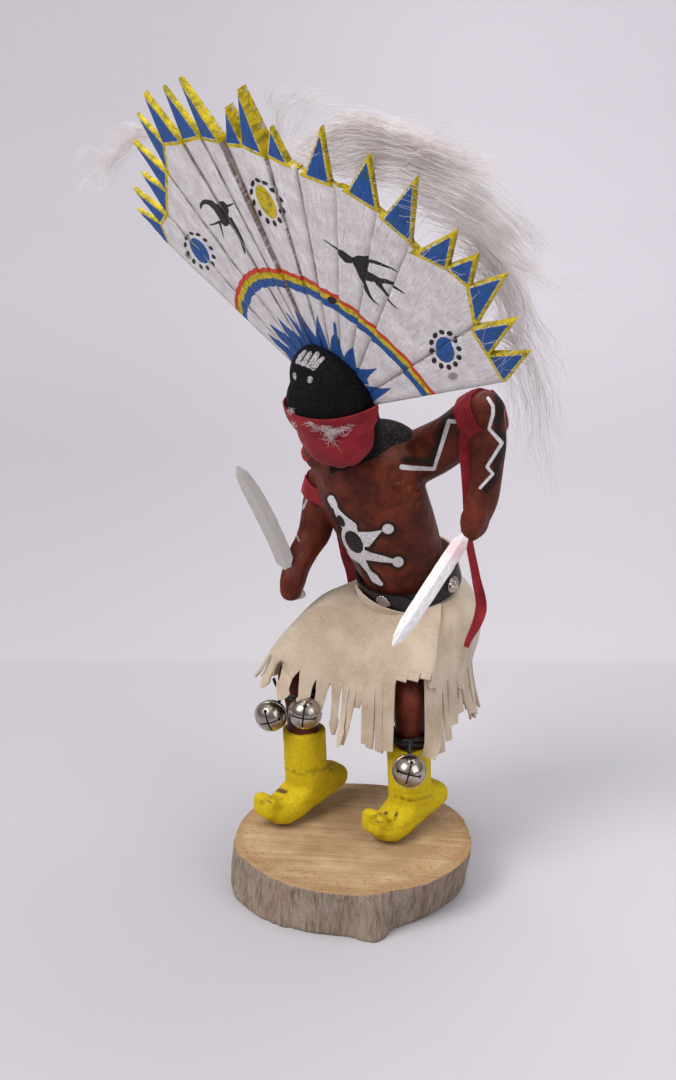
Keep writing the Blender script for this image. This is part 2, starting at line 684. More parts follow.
def carve_body(mesh):
    """Tool marks, folds and small forms in the wood."""
    co = vertices_of(mesh)
    away = normals_of(mesh)
    push = noise(co, 0.010, 3) * 0.00022 + noise(co, 0.0042, 4) * 0.00010
    px = seen(co)
    facing = away @ -np.array(LOOK)
    front = facing > 0.1

    def groove(points, half, depth):
        gap = to_line(px, points)[0]
        return np.where(front, -depth * np.exp(-(gap / half) ** 2), 0.0)

    push = push + groove([(352, 486), (366, 500), (385, 512), (408, 503), (421, 486)], 2.2, 0.0006)
    push = push + groove([(346, 470), (352, 486)], 2.0, 0.0005)
    push = push + groove([(388, 466), (394, 478), (398, 492)], 3.0, 0.0004)
    push = push + groove([(285, 801), (300, 806), (318, 800), (333, 788)], 1.2, 0.0005)
    push = push + groove([(370, 824), (388, 832), (404, 828), (434, 812)], 1.2, 0.0005)
    shaft = np.exp(-((co[:, 2] - 0.0485 - 0.004 * noise(co, 0.03, 8)) / 0.0007) ** 2)
    push = push - np.where(co[:, 2] < 0.06, shaft * 0.0004, 0.0)
    top = np.exp(-((co[:, 2] - SHAFT_TOP - 0.0004) / 0.0006) ** 2)
    near_shaft = np.minimum(*[np.hypot(co[:, 0] - a.x, co[:, 1] - a.y) for a in ANKLES])
    push = push - np.where(near_shaft < 0.013, top * 0.0003, 0.0)
    spine = np.exp(-((co[:, 0] - MIDLINE) / 0.0022) ** 2)
    push = push - np.where((away[:, 1] > 0.3) & (co[:, 2] > 0.13) & (co[:, 2] < 0.196), spine * 0.0007, 0.0)
    put_vertices(mesh, co + away * push[:, None])


def body_material():
    p = Paint("carved_paint", roughness=0.55, coat=0.0, specular=0.14)
    place = p.place()
    grain = p.noise(p.place((1, 1, 0.16)), 900, 4, 0.65)
    blotch = p.noise(place, 75, 6, 0.68)
    fine = p.noise(place, 1500, 3, 0.6)
    skin_colour = p.mix(p.span(blotch, 0.36, 0.66), rgb("#411a11"), rgb("#692e1f"))
    skin_colour = p.mix(p.math("MULTIPLY", p.span(grain, 0.52, 0.72), 0.50), skin_colour, rgb("#2b1210"))
    skin_colour = p.mix(p.math("MULTIPLY", p.span(fine, 0.55, 0.75), 0.35), skin_colour, rgb("#7d4130"))
    speckle = p.span(p.noise(place, 330, 5, 0.75), 0.48, 0.62)
    patch = p.math("MULTIPLY", p.span(p.value("patch"), 5.5, 0.5), speckle)
    skin_colour = p.mix(p.math("MULTIPLY", patch, 0.8), skin_colour, rgb("#93471f"))
    shade = p.math("MULTIPLY", p.span(p.value("shade"), 1.7, 0.0), 0.88)
    skin_colour = p.mix(shade, skin_colour, rgb("#1b1614"))
    dirt = p.span(p.noise(place, 300, 6, 0.75), 0.42, 0.66)
    yellow = p.mix(p.span(fine, 0.3, 0.7), rgb("#c3a614"), rgb("#dcc322"))
    yellow = p.mix(p.math("MULTIPLY", dirt, 0.28), yellow, rgb("#a08a14"))
    yellow = p.mix(p.math("MULTIPLY", p.span(grain, 0.58, 0.75), 0.45), yellow, rgb("#7f6a10"))
    bare = p.mix(p.span(grain, 0.4, 0.7), rgb("#5d4020"), rgb("#a67f50"))
    yellow = p.mix(p.inside("bare", fine, 0.5, 0.35), yellow, bare)
    yellow = p.mix(p.math("MULTIPLY", p.span(p.value("crease"), 0.1, 1.0), p.span(dirt, 0.0, 1.0, 0.3, 0.85)), yellow,
                   rgb("#7c6812"))
    colour = p.mix(p.inside("yellow", fine, 0.4, 0.15), skin_colour, yellow)
    ink = p.mix(p.span(p.noise(place, 500, 4, 0.7), 0.5, 0.7), rgb("#0a090a"), rgb("#1c191a"))
    colour = p.mix(p.inside("black", fine, 0.7, 0.2), colour, ink)
    hairs = p.noise(p.place((1, 0.25, 1)), 1300, 3, 0.7)
    colour = p.mix(p.math("MULTIPLY", p.inside("hump"), p.span(hairs, 0.52, 0.68)), colour, rgb("#4a3a38"))
    chalk = p.mix(p.span(fine, 0.35, 0.65), rgb("#b3aeb1"), rgb("#e6e3e6"))
    colour = p.mix(p.inside("white", fine, 0.22, 0.1), colour, chalk)
    worn = p.math("MULTIPLY", p.inside("worn_white", fine, 0.5, 0.25), p.span(p.noise(place, 1100, 3, 0.7), 0.36, 0.54))
    colour = p.mix(worn, colour, rgb("#b9b4b8"))
    colour = p.mix(p.inside("dark", fine, 0.2, 0.12), colour, rgb("#282020"))
    rough = p.span(fine, 0.3, 0.7, 0.42, 0.60)
    matt = p.math("MAXIMUM", p.inside("yellow"), p.inside("black"))
    rough = p.math("MULTIPLY_ADD", matt, 0.28, rough)
    height = p.math("ADD", p.math("MULTIPLY", grain, 0.5), p.math("MULTIPLY", fine, 0.35))
    chisel = p.cells(p.place((1, 1, 0.7)), 210, "SMOOTH_F1")
    normal = p.bump(chisel, 0.42, 0.0015)
    normal = p.bump(p.noise(place, 330, 4, 0.65), 0.38, 0.0006, normal)
    normal = p.bump(height, 0.45, 0.0003, normal)
    return p.finish(colour, rough, normal)


def make_body():
    mesh = body_mesh()
    carve_body(mesh)
    paint_body(mesh)
    mesh.shade_smooth()
    made = new_object("carved_figure", mesh, body_material())
    finished(made, "figure")
    return made


body = make_body()


# Headdress slats

SLAT_EDGES = [-64.5, -52.5, -38.0, -24.0, -16.5, -9.0, 2.5, 11.0, 20.0, 28.7, 36.0, 52.8, 64.7]
OUTER_EDGE = [
    [(-64.3, 127), (-62.5, 151.5), (-58.6, 132), (-56.3, 152), (-52.6, 127.5)],
    [(-52.4, 127.5), (-48.5, 147), (-44.3, 130), (-42.0, 156), (-38.1, 134)],
    [(-37.9, 134), (-34.2, 160.5), (-31.4, 143.5), (-27.0, 164.5), (-24.1, 140)],
    [(-23.9, 140), (-20.2, 163), (-16.6, 140)],
    [(-16.4, 139), (-13.8, 165), (-9.1, 139)],
    [(-8.9, 136), (-4.6, 152.5), (-3.5, 137), (0.8, 163), (2.4, 136)],
    [(2.6, 135), (5.8, 149.5), (8.4, 135.5), (10.9, 135.5)],
    [(11.1, 135), (12.7, 135), (16.9, 161.5), (18.2, 136.5), (19.9, 137)],
    [(20.1, 138), (22.3, 139.5), (25.5, 163), (28.2, 140), (28.6, 140)],
    [(28.8, 140), (30.0, 140), (33.2, 170), (35.7, 138), (35.9, 137)],
    [(36.1, 137), (37.6, 137), (41.0, 162.5), (42.9, 143.5), (45.1, 161.5), (47.3, 145), (49.5, 166.5), (52.7, 131)],
    [(52.9, 129), (55.1, 153.5), (58.5, 125.5), (60.4, 147.5), (64.6, 123)],
]
SLAT_START = 13.0
SLAT_THICK = 3.4
SLAT_LIFT = 2.2
SLAT_LIFTS = (0.45, 0.45, 0.6, 0.5, 1.7, 0.9, 0.8, 0.8, 0.8, 0.9, 0.9, 0.7)
SLAT_GAP = 0.05
SLAT_GRID = 0.75


def fan_place(angle, reach, height):
    """A point of the fan in metres, from an angle in radians and two lengths in millimetres."""
    flat = np.outer(np.cos(angle), np.array(FAN_UP)) + np.outer(np.sin(angle), np.array(FAN_SIDE))
    back = np.array(FAN_BACK)
    out = back * cos(FAN_CONE) + flat * sin(FAN_CONE)
    normal = -(back * sin(FAN_CONE) - flat * cos(FAN_CONE))
    return np.array(FAN_PIVOT) + out * (reach / 1000)[:, None] + normal * (height / 1000)[:, None]


def flat_of(angle, reach):
    """Plane coordinates, in millimetres, of a place on the fan."""
    return reach * sin(radians(angle)), reach * cos(radians(angle))


def slat_outline(index):
    """The slat's outline in the plane, anticlockwise from its inner left corner."""
    first = SLAT_EDGES[index]
    last = SLAT_EDGES[index + 1]

    def inset(angle, reach, sign):
        return angle + sign * degrees(SLAT_GAP / reach)

    points = [flat_of(inset(last, SLAT_START, -1), SLAT_START)]
    teeth = OUTER_EDGE[index]
    right = [flat_of(inset(last, reach, -1), reach) for reach in np.linspace(SLAT_START, teeth[-1][1], 40)[1:]]
    points += right
    for angle, reach in reversed(teeth[1:-1]):
        points.append(flat_of(angle, reach))
    left = [flat_of(inset(first, reach, 1), reach) for reach in np.linspace(SLAT_START, teeth[0][1], 40)[::-1]]
    points += left
    return np.array(points)


def teeth_of(index):
    """Each tooth as its left notch, tip and right notch in the plane."""
    edge = OUTER_EDGE[index]
    found = []
    for k in range(1, len(edge) - 1):
        if edge[k][1] > edge[k - 1][1] + 3 and edge[k][1] > edge[k + 1][1] + 3:
            found.append([flat_of(*edge[k - 1]), flat_of(*edge[k]), flat_of(*edge[k + 1])])
    return found


def shrink(points, by):
    """A triangle with each side moved in, by = (first side, second side, base)."""
    a, b, c = (np.array(p) for p in points)
    middle = (a + b + c) / 3
    lines = []
    for (p, q), d in zip(((a, b), (b, c), (c, a)), by):
        t = (q - p) / np.linalg.norm(q - p)
        n = np.array([-t[1], t[0]])
        if (middle - p) @ n < 0:
            n = -n
        lines.append((n, n @ p + d))
    corners = []
    for (n1, d1), (n2, d2) in ((lines[2], lines[0]), (lines[0], lines[1]), (lines[1], lines[2])):
        corners.append(np.linalg.solve(np.array([n1, n2]), np.array([d1, d2])))
    return corners


def fan_at(px, py):
    """The fan's plane coordinates, in millimetres, of a point of the picture."""
    aim = sight_line(px, py)
    spot = FAN_PIVOT
    normal = FAN_BACK
    for _ in range(5):
        share = (spot - CAMERA_PLACE).dot(normal) / aim.dot(normal)
        hit = CAMERA_PLACE + aim * share - FAN_PIVOT
        angle = atan2(hit.dot(FAN_SIDE), hit.dot(FAN_UP))
        flat = FAN_UP * cos(angle) + FAN_SIDE * sin(angle)
        out = FAN_BACK * cos(FAN_CONE) + flat * sin(FAN_CONE)
        normal = (flat * cos(FAN_CONE) - FAN_BACK * sin(FAN_CONE)).normalized()
        reach = hit.dot(out)
        spot = FAN_PIVOT + out * reach + normal * 0.0010
    return reach * 1000 * sin(angle), reach * 1000 * cos(angle)


def fan_shape(points):
    return [fan_at(px, py) for px, py in points]


def brush(points, widths, steps=4):
    """The outline, in picture points, of a stroke with those half widths."""
    points = np.array(points, dtype=float)
    fine = np.linspace(0, len(points) - 1, (len(points) - 1) * steps + 1)
    index = np.arange(len(points))
    line = np.stack([np.interp(fine, index, points[:, i]) for i in (0, 1)], axis=1)
    if len(points) > 2:
        line[1:-1] = (line[:-2] + line[1:-1] * 2 + line[2:]) / 4
    half = np.interp(fine, np.linspace(0, len(points) - 1, len(widths)), widths)
    along = np.gradient(line, axis=0)
    along /= np.linalg.norm(along, axis=1, keepdims=True)
    side = np.stack([-along[:, 1], along[:, 0]], axis=1) * half[:, None]
    return list(line + side) + list((line - side)[::-1])


def blob(x, y, long, short, turn):
    """The outline of a tilted ellipse, in picture points."""
    c = cos(radians(turn))
    s = sin(radians(turn))
    found = []
    for k in range(14):
        a = 2 * pi * k / 14
        u = long * cos(a)
        v = short * sin(a)
        found.append((x + u * c - v * s, y + u * s + v * c))
    return found


SPIKE_HEART = (331, 386)
SPIKE_SHAPES = [
    [(289, 362), (283, 353), (274, 345), (266, 334), (276, 341), (284, 347), (295, 354)],
    [(293, 354), (286, 347), (279, 340), (267, 324), (278, 331), (287, 338), (298, 347)],
    [(296, 347), (290, 341), (283, 332), (275, 317), (285, 327), (293, 333), (303, 342)],
    [(301, 342), (297, 334), (291, 325), (283, 311), (291, 320), (298, 330), (307, 339)],
    [(303, 344), (300, 330), (298, 320), (294, 309), (300, 317), (306, 326), (312, 334), (318, 341)],
    [(315, 343), (315, 330), (315, 322), (316, 315), (318, 322), (321, 330), (325, 340), (328, 350)],
    [(329, 352), (330, 340), (331, 337), (333, 335), (332, 325), (333, 322), (335, 326), (336, 336), (339, 345),
     (343, 359)],
    [(342, 360), (346, 352), (352, 348), (354, 344), (353, 349), (354, 358), (355, 370)],
    [(354, 369), (366, 370), (377, 369), (370, 375), (366, 380), (368, 386), (362, 385)],
    [(366, 387), (378, 389), (391, 389), (383, 395), (376, 400), (371, 404)],
]
BIRD_SHAPES = [
    brush([(199, 210), (200, 205), (204, 202), (210, 203), (216, 208), (220, 214)], [0.8, 1.8, 2.5, 2.9, 3.4, 4.0]),
    [(218, 202), (223, 202), (226, 206), (228, 211), (227, 216), (229, 220), (228, 226), (224, 227), (220, 223),
     (218, 218), (215, 213), (213, 209), (217, 207)],
    brush([(223, 207), (229, 206), (234, 203)], [1.9, 1.2, 0.6]),
    brush([(228, 219), (235, 230), (240, 240), (243, 248), (245, 255)], [2.4, 2.0, 1.4, 1.0, 0.4]),
    brush([(219, 222), (213, 225), (208, 226)], [1.4, 1.0, 0.8]),
    brush([(219, 223), (221, 231), (223, 240)], [1.2, 0.7, 0.3]),
    brush([(323, 240), (330, 246), (337, 251)], [0.5, 0.7, 1.0]),
    [(336, 249), (339, 249), (342, 250), (347, 254), (353, 259), (351, 264), (345, 263), (341, 258), (337, 253)],
    [(352, 258), (357, 256), (363, 257), (369, 257), (370, 262), (368, 270), (372, 274), (376, 280), (372, 282),
     (366, 280), (362, 285), (358, 278), (355, 270), (352, 264)],
    brush([(369, 260), (376, 262), (384, 266), (391, 269), (398, 275)], [1.7, 1.8, 1.3, 0.9, 0.3]),
    brush([(369, 275), (378, 281), (386, 282), (394, 286), (400, 290), (405, 294)], [3.4, 3.0, 2.2, 1.4, 0.9, 0.5]),
    brush([(377, 282), (382, 290), (388, 299), (394, 306), (399, 310)], [2.8, 1.6, 1.0, 0.7, 0.3]),
    brush([(362, 279), (366, 288), (370, 298), (374, 303), (378, 306)], [3.0, 2.0, 1.2, 0.8, 0.3]),
]
OVALS = [
    # colour, middle, half lengths and tilt in picture points, number of dots, their half lengths
    ("blue", (198.3, 251.5), (14.5, 6.6), 57, 12, (2.9, 1.7)),
    ("yellow", (266.0, 202.0), (19.0, 8.2), 62, 12, (3.7, 2.0)),
    ("blue", (444.5, 350.5), (13.2, 9.6), 68, 12, (3.2, 2.5)),
]


def mapped_ornaments():
    """Every free ornament as (colour, outline in the fan's plane)."""
    found = []
    heart = np.array(SPIKE_HEART, dtype=float)
    for outline in SPIKE_SHAPES:
        first = np.array(outline[0], dtype=float)
        last = np.array(outline[-1], dtype=float)
        inner = [tuple(last + (heart - last) * 0.5), tuple(first + (heart - first) * 0.5)]
        found.append(("blue", fan_shape(list(outline) + inner)))
    for outline in BIRD_SHAPES:
        found.append(("black", fan_shape(outline)))
    for tint, (x, y), (long, short), turn, dots, (dot_long, dot_short) in OVALS:
        found.append((tint, fan_shape(blob(x, y, long, short, turn))))
        c = cos(radians(turn))
        s = sin(radians(turn))
        for k in range(dots):
            a = 2 * pi * (k + 0.4) / dots
            u = (long + 4.6) * cos(a)
            v = (short + 4.6) * sin(a)
            lean = turn + degrees(atan2(v, u)) * 0.25
            found.append(("black", fan_shape(blob(x + u * c - v * s, y + u * s + v * c, dot_long, dot_short, lean))))
    found.append(("smudge", fan_shape(blob(452, 377, 5, 4, 0))))
    found.append(("smudge", fan_shape(blob(187, 257, 4, 2.5, 40))))
    found.append(("black", fan_shape([(326, 298), (331, 297), (336, 302), (334, 305), (329, 305)])))
    return found


ORNAMENTS = mapped_ornaments()


def paint_slat(mesh, xy, index):
    """Stores the distance to each painted ornament, in millimetres, at each point of a slat's plane."""
    reach = np.linalg.norm(xy, axis=1)
    ripple = 0.25 * np.sin(xy[:, 0] * 0.9 + index) + 0.2 * np.sin(xy[:, 0] * 0.37 + 2 * index)
    step = (0.0, 0.2, -0.1, 0.2, -0.2, 0.1, -0.3, 0.2, -0.1, 0.1, 0.0, 0.1)[index]
    bow = reach + ripple + step

    def arc(low, high):
        return np.maximum(low - bow, bow - high)

    red = arc(73.6, 76.0)
    yellow = arc(70.4, 74.0)
    blue = arc(66.4, 70.6)
    black = np.full(len(xy), 9.0)
    for tooth in teeth_of(index):
        border = polygon(xy, shrink(tooth, (-1.5, -1.5, -2.0)))
        yellow = np.minimum(yellow, border)
        trim_left = 0.25 if index < 6 else 0.9
        body_of_tooth = polygon(xy, shrink(tooth, (trim_left, 1.0, -0.2)))
        blue = np.minimum(blue, body_of_tooth)
        yellow = np.where(body_of_tooth < -0.1, 9.0, yellow)
    smudge = np.full(len(xy), 9.0)
    layers = {"blue": blue, "yellow": yellow, "black": black, "smudge": smudge}
    low = xy.min(axis=0) - 6
    high = xy.max(axis=0) + 6
    for tint, outline in ORNAMENTS:
        shape = np.array(outline)
        if (shape.max(axis=0) < low).any() or (shape.min(axis=0) > high).any():
            continue
        layers[tint] = np.minimum(layers[tint], polygon(xy, shape))
    blue, yellow, black, smudge = (layers[name] for name in ("blue", "yellow", "black", "smudge"))
    for name, field in (("red", red), ("yellow", yellow), ("blue", blue), ("black", black), ("smudge", smudge)):
        add_value(mesh, name, np.minimum(field, 9.0))


def slat_material():
    p = Paint("fan_paint", roughness=0.6, specular=0.3)
    along = p.place((1, 0.08, 1), "slat_place")
    wide = p.place((1, 1, 1), "slat_place")
    streak = p.noise(along, 1.4, 5, 0.7)
    fine = p.noise(along, 5.5, 4, 0.7)
    cloud = p.noise(wide, 0.11, 5, 0.65)
    speck = p.noise(wide, 2.1, 4, 0.7)
    white = p.mix(p.span(cloud, 0.3, 0.7), rgb("#d3cdcf"), rgb("#efeaec"))
    white = p.mix(p.math("MULTIPLY", p.span(streak, 0.48, 0.68), 0.65), white, rgb("#aba3a3"))
    white = p.mix(p.math("MULTIPLY", p.span(fine, 0.58, 0.76), 0.42), white, rgb("#8f8683"))
    white = p.mix(p.math("MULTIPLY", p.span(speck, 0.60, 0.76), 0.35), white, rgb("#a39b98"))
    scuff = p.math("MULTIPLY", p.span(p.noise(along, 0.5, 6, 0.75, 0.4), 0.60, 0.68), 0.65)
    white = p.mix(scuff, white, rgb("#8b7b6c"))
    shadow = p.math("MULTIPLY", p.span(p.value("low_gap"), 4.0, 0.0), 0.6)
    white = p.mix(shadow, white, rgb("#a59da0"))
    grime = p.math("MULTIPLY", p.span(p.value("side_gap"), 0.75, 0.05), p.span(streak, 0.36, 0.58))
    white = p.mix(p.math("MULTIPLY", grime, 0.75), white, rgb("#6f625a"))
    wood = p.mix(p.span(streak, 0.35, 0.7), rgb("#54361f"), rgb("#94693f"))
    bare = p.value("bare_side")
    worn = p.math("MULTIPLY", p.span(streak, 0.48, 0.6), bare)
    white = p.mix(p.math("MAXIMUM", worn, p.math("MULTIPLY", bare, 0.45)), white, wood)
    smudge = p.inside("smudge", speck, 0.9, 0.6)
    white = p.mix(p.math("MULTIPLY", smudge, 0.7), white, rgb("#6b5648"))
    yellow = p.mix(p.span(speck, 0.35, 0.7), rgb("#c2a50c"), rgb("#e8d31c"))
    olive = p.mix(p.span(cloud, 0.3, 0.6), rgb("#5f6a14"), rgb("#8f7f16"))
    yellow = p.mix(p.math("MULTIPLY", p.span(p.noise(wide, 0.28, 5, 0.7), 0.48, 0.58), 0.7), yellow, olive)
    blue = p.mix(p.span(speck, 0.30, 0.72), rgb("#123880"), rgb("#2c6bb4"))
    blue = p.mix(p.math("MULTIPLY", p.span(streak, 0.48, 0.66), 0.6), blue, rgb("#11225c"))
    tint = p.span(p.noise(wide, 0.16, 3, 0.6), 0.56, 0.66)
    blue = p.mix(p.math("MULTIPLY", tint, 0.65), blue, rgb("#235a3c"))
    red = p.mix(p.span(speck, 0.3, 0.7), rgb("#b53418"), rgb("#dc4a2a"))
    ink = p.mix(p.span(speck, 0.4, 0.75), rgb("#151414"), rgb("#34312f"))
    colour = p.mix(p.inside("yellow", speck, 0.35, 0.1), white, yellow)
    colour = p.mix(p.inside("blue", speck, 0.35, 0.1), colour, blue)
    colour = p.mix(p.inside("red", speck, 0.3, 0.1), colour, red)
    colour = p.mix(p.inside("black", speck, 0.15, 0.08), colour, ink)
    side_yellow = p.mix(p.math("MULTIPLY", p.span(p.noise(wide, 0.4, 4, 0.7), 0.46, 0.62), 0.6), yellow, rgb("#6b5a1e"))
    colour = p.mix(p.value("tip_side"), colour, side_yellow)
    colour = p.mix(p.value("back"), colour,
                   p.mix(p.math("MULTIPLY", p.span(cloud, 0.40, 0.66), 0.35), rgb("#cdc5c4"), rgb("#a08e7a")))
    rough = p.span(speck, 0.3, 0.7, 0.5, 0.72)
    height = p.math("ADD", p.math("MULTIPLY", streak, 0.9), p.math("MULTIPLY", speck, 0.3))
    normal = p.bump(p.noise(wide, 0.5, 4, 0.65), 0.5, 0.0014)
    normal = p.bump(height, 0.8, 0.0005, normal)
    return p.finish(colour, rough, normal)


# The slats whose right side shows bare wood, and how much of the paint is gone there.
BARE_SLATS = {2: 0.8, 4: 1.0, 6: 0.85}
# Where the yellow of the teeth starts on the slats' sides: millimetres from the pivot, by angle.
TIP_ANGLES = [-65, -45, -24, -10, 0, 20, 36, 52, 65]
TIP_REACH = [126, 128, 138, 138, 134, 135, 138, 132, 122]


def make_slat(index):
    """One slat, with a carved front, square sides and its ornaments."""
    outline = slat_outline(index)
    first = SLAT_EDGES[index]
    last = SLAT_EDGES[index + 1]
    fine = []
    for a, b in zip(outline, np.roll(outline, -1, axis=0)):
        pieces = max(1, int(np.linalg.norm(b - a) / (SLAT_GRID * 1.3)))
        for k in range(pieces):
            fine.append(a + (b - a) * k / pieces)
    fine = np.array(fine)
    edge_count = len(fine)
    low = fine.min(axis=0)
    high = fine.max(axis=0)
    draw = np.random.default_rng(100 + index)
    inner = []
    rows = int((high[1] - low[1]) / (SLAT_GRID * 0.87))
    for r in range(rows + 1):
        y = low[1] + r * SLAT_GRID * 0.87
        xs = np.arange(low[0] + (r % 2) * SLAT_GRID / 2, high[0], SLAT_GRID)
        inner.append(np.stack([xs, np.full(len(xs), y)], axis=1))
    inner = np.vstack(inner)
    inner = inner + draw.normal(0, 0.04, inner.shape)
    inner = inner[polygon(inner, fine) < -SLAT_GRID * 0.55]
    points = np.vstack([fine, inner])
    edges = [(k, (k + 1) % edge_count) for k in range(edge_count)]
    out = delaunay_2d_cdt([Vector(q) for q in points], edges, [], 1, 1e-6)
    plane = np.array([list(v) for v in out[0]])
    faces = [tuple(f) for f in out[2]]
    count = len(plane)
    origin = out[3]
    place_of = {}
    for k, found in enumerate(origin):
        for o in found:
            place_of[o] = k
    border = [place_of[k] for k in range(edge_count)]

    def heights(xy):
        reach = np.linalg.norm(xy, axis=1)
        angle = np.degrees(np.arctan2(xy[:, 0], xy[:, 1]))
        share = np.clip((angle - first) / (last - first), 0, 1)
        raised = share if index < 7 else 1 - share
        base = SLAT_LIFT * SLAT_LIFTS[index] * raised * reach / 150
        spot3 = np.stack([xy[:, 0] / 1000, xy[:, 1] / 6000, np.full(len(xy), index * 0.1)], axis=1)
        wave = noise(spot3, 0.0016, index) * 0.10 + noise(spot3, 0.004, index + 20) * 0.16
        return base + wave, reach, angle

    top, reach, angle = heights(plane)
    gap = -polygon(plane, fine)
    top = top - 0.35 * np.exp(-(gap / 0.45) ** 2)
    thin = SLAT_THICK * (0.92 - 0.42 * np.clip((reach - 118) / 22, 0, 1))
    if index == 5:
        thin = SLAT_THICK * (0.92 + 0.75 * np.clip((162 - reach) / 28, 0, 1))
    turn = np.radians(angle)
    front_at = fan_place(turn, reach, top)
    back_at = fan_place(turn, reach, -thin)
    ring = np.array(border)
    rim_a = fan_place(turn[ring], reach[ring], top[ring])
    rim_b = fan_place(turn[ring], reach[ring], -thin[ring])
    outwards = fan_place(turn[ring], reach[ring], (top[ring] - thin[ring]) / 2)
    verts = np.vstack([front_at, back_at, rim_a, outwards, rim_b])
    all_faces = []
    for f in faces:
        all_faces.append(f)
        all_faces.append(tuple(v + count for v in reversed(f)))
    start = 2 * count
    n = edge_count
    for k in range(n):
        m = (k + 1) % n
        all_faces.append((start + k, start + m, start + n + m, start + n + k))
        all_faces.append((start + n + k, start + n + m, start + 2 * n + m, start + 2 * n + k))
    mesh = bpy.data.meshes.new("slat")
    mesh.from_pydata([tuple(v) for v in verts], [], all_faces)
    xy = np.vstack([plane, plane, plane[ring], plane[ring], plane[ring]])
    paint_slat(mesh, xy, index)
    total = len(verts)
    rim = np.zeros(total)
    rim[start:] = 1
    back = np.zeros(total)
    back[count:2 * count] = 1
    tip = np.zeros(total)
    side_reach = np.linalg.norm(xy, axis=1)
    base_line = np.interp(np.degrees(np.arctan2(xy[:, 0], xy[:, 1])), TIP_ANGLES, TIP_REACH)
    tip[start:] = (side_reach[start:] > base_line[start:] - 1.5)
    bare = np.zeros(total)
    on_right = np.zeros(total, dtype=bool)
    angle_all = np.degrees(np.arctan2(xy[:, 0], xy[:, 1]))
    on_right[start:] = (last - angle_all[start:]) < (last - first) * 0.25
    if index in BARE_SLATS:
        bare[start:] = np.where(on_right[start:], BARE_SLATS[index], 0.0)
        if index == 4:
            tip[start:] = np.where(on_right[start:], side_reach[start:] > 150, tip[start:])
    for name in ("black", "blue", "smudge"):
        field = mesh.attributes[name].data
        values = np.empty(total, dtype=np.float32)
        field.foreach_get("value", values)
        values[start + edge_count:] = 9.0
        field.foreach_set("value", values)
    add_value(mesh, "rim", rim)
    add_value(mesh, "back", back)
    add_value(mesh, "tip_side", tip)
    add_value(mesh, "bare_side", bare)
    side_gap = np.minimum(np.abs(angle_all - first), np.abs(last - angle_all)) * np.pi / 180 * side_reach
    low_turn = np.abs(angle_all - first) if (first + last) / 2 < 0 else np.abs(last - angle_all)
    low_gap = low_turn * np.pi / 180 * side_reach
    add_value(mesh, "side_gap", side_gap)
    add_value(mesh, "low_gap", low_gap)
    depths = np.concatenate([np.zeros(count), np.full(count, 3.0), top[ring], top[ring] - 1.6, -thin[ring]])
    flat3 = np.stack([np.radians(angle_all) * 100 + index * 37.0, side_reach, depths], axis=1)
    add_vector(mesh, "slat_place", flat3)
    bm = bmesh.new()
    bm.from_mesh(mesh)
    bmesh.ops.remove_doubles(bm, verts=bm.verts, dist=1e-9)
    bm.to_mesh(mesh)
    bm.free()
    smooth(mesh, 50)
    return mesh


def make_fan():
    material = slat_material()
    for index in range(len(SLAT_EDGES) - 1):
        name = "painted_slat_%02d" % (index + 1)
        made = new_object(name, make_slat(index), material)
        finished(made, "fan_slat_%02d" % (index + 1))


make_fan()


# Strands of hair

def strands(name, paths, root_radius, tip_radius, sides=3):
    """Thin tubes along paths, an array of strands by points by 3."""
    count, steps, _ = paths.shape
    along = np.gradient(paths, axis=1)
    along /= np.linalg.norm(along, axis=2, keepdims=True) + 1e-12
    pick = np.random.default_rng(3).normal(size=(count, 1, 3))
    side = np.cross(along, pick)
    side /= np.linalg.norm(side, axis=2, keepdims=True) + 1e-12
    other = np.cross(along, side)
    radius = np.linspace(root_radius, tip_radius, steps)[None, :, None]
    rings = []
    for k in range(sides):
        turn = 2 * pi * k / sides
        rings.append(paths + (side * cos(turn) + other * sin(turn)) * radius)
    verts = np.stack(rings, axis=2).reshape(-1, 3)
    strand = np.arange(count)[:, None, None] * steps * sides
    step = np.arange(steps - 1)[None, :, None] * sides
    k = np.arange(sides)[None, None, :]
    n = (k + 1) % sides
    quads = np.stack(np.broadcast_arrays(strand + step + k, strand + step + n, strand + step + sides + n,
                                         strand + step + sides + k), axis=-1).reshape(-1, 4)
    mesh = bpy.data.meshes.new(name)
    mesh.vertices.add(len(verts))
    mesh.vertices.foreach_set("co", verts.astype(np.float32).ravel())
    mesh.loops.add(quads.size)
    mesh.loops.foreach_set("vertex_index", quads.astype(np.int32).ravel())
    mesh.polygons.add(len(quads))
    mesh.polygons.foreach_set("loop_start", np.arange(0, quads.size, 4, dtype=np.int32))
    mesh.update(calc_edges=True)
    mesh.validate()
    mesh.shade_smooth()
    return mesh


def curled(starts, middles, ends, steps, waves, draw):
    """Curved paths from starts by middles to ends, with a little waviness that grows to the tips."""
    t = np.linspace(0, 1, steps)[None, :, None]
    paths = (1 - t) ** 2 * starts[:, None] + 2 * t * (1 - t) * middles[:, None] + t ** 2 * ends[:, None]
    count = len(starts)
    for size, turns in waves:
        axis = draw.normal(size=(count, 1, 3))
        phase = draw.random((count, 1, 1)) * 2 * pi
        speed = turns * (0.7 + 0.6 * draw.random((count, 1, 1)))
        paths = paths + axis * size * t ** 1.3 * np.sin(speed * 2 * pi * t + phase)
    return paths


def fan_points(angles, reach, height):
    """Places on the fan, from degrees and metres."""
    return fan_place(np.radians(angles), np.asarray(reach) * 1000, np.asarray(height) * 1000)


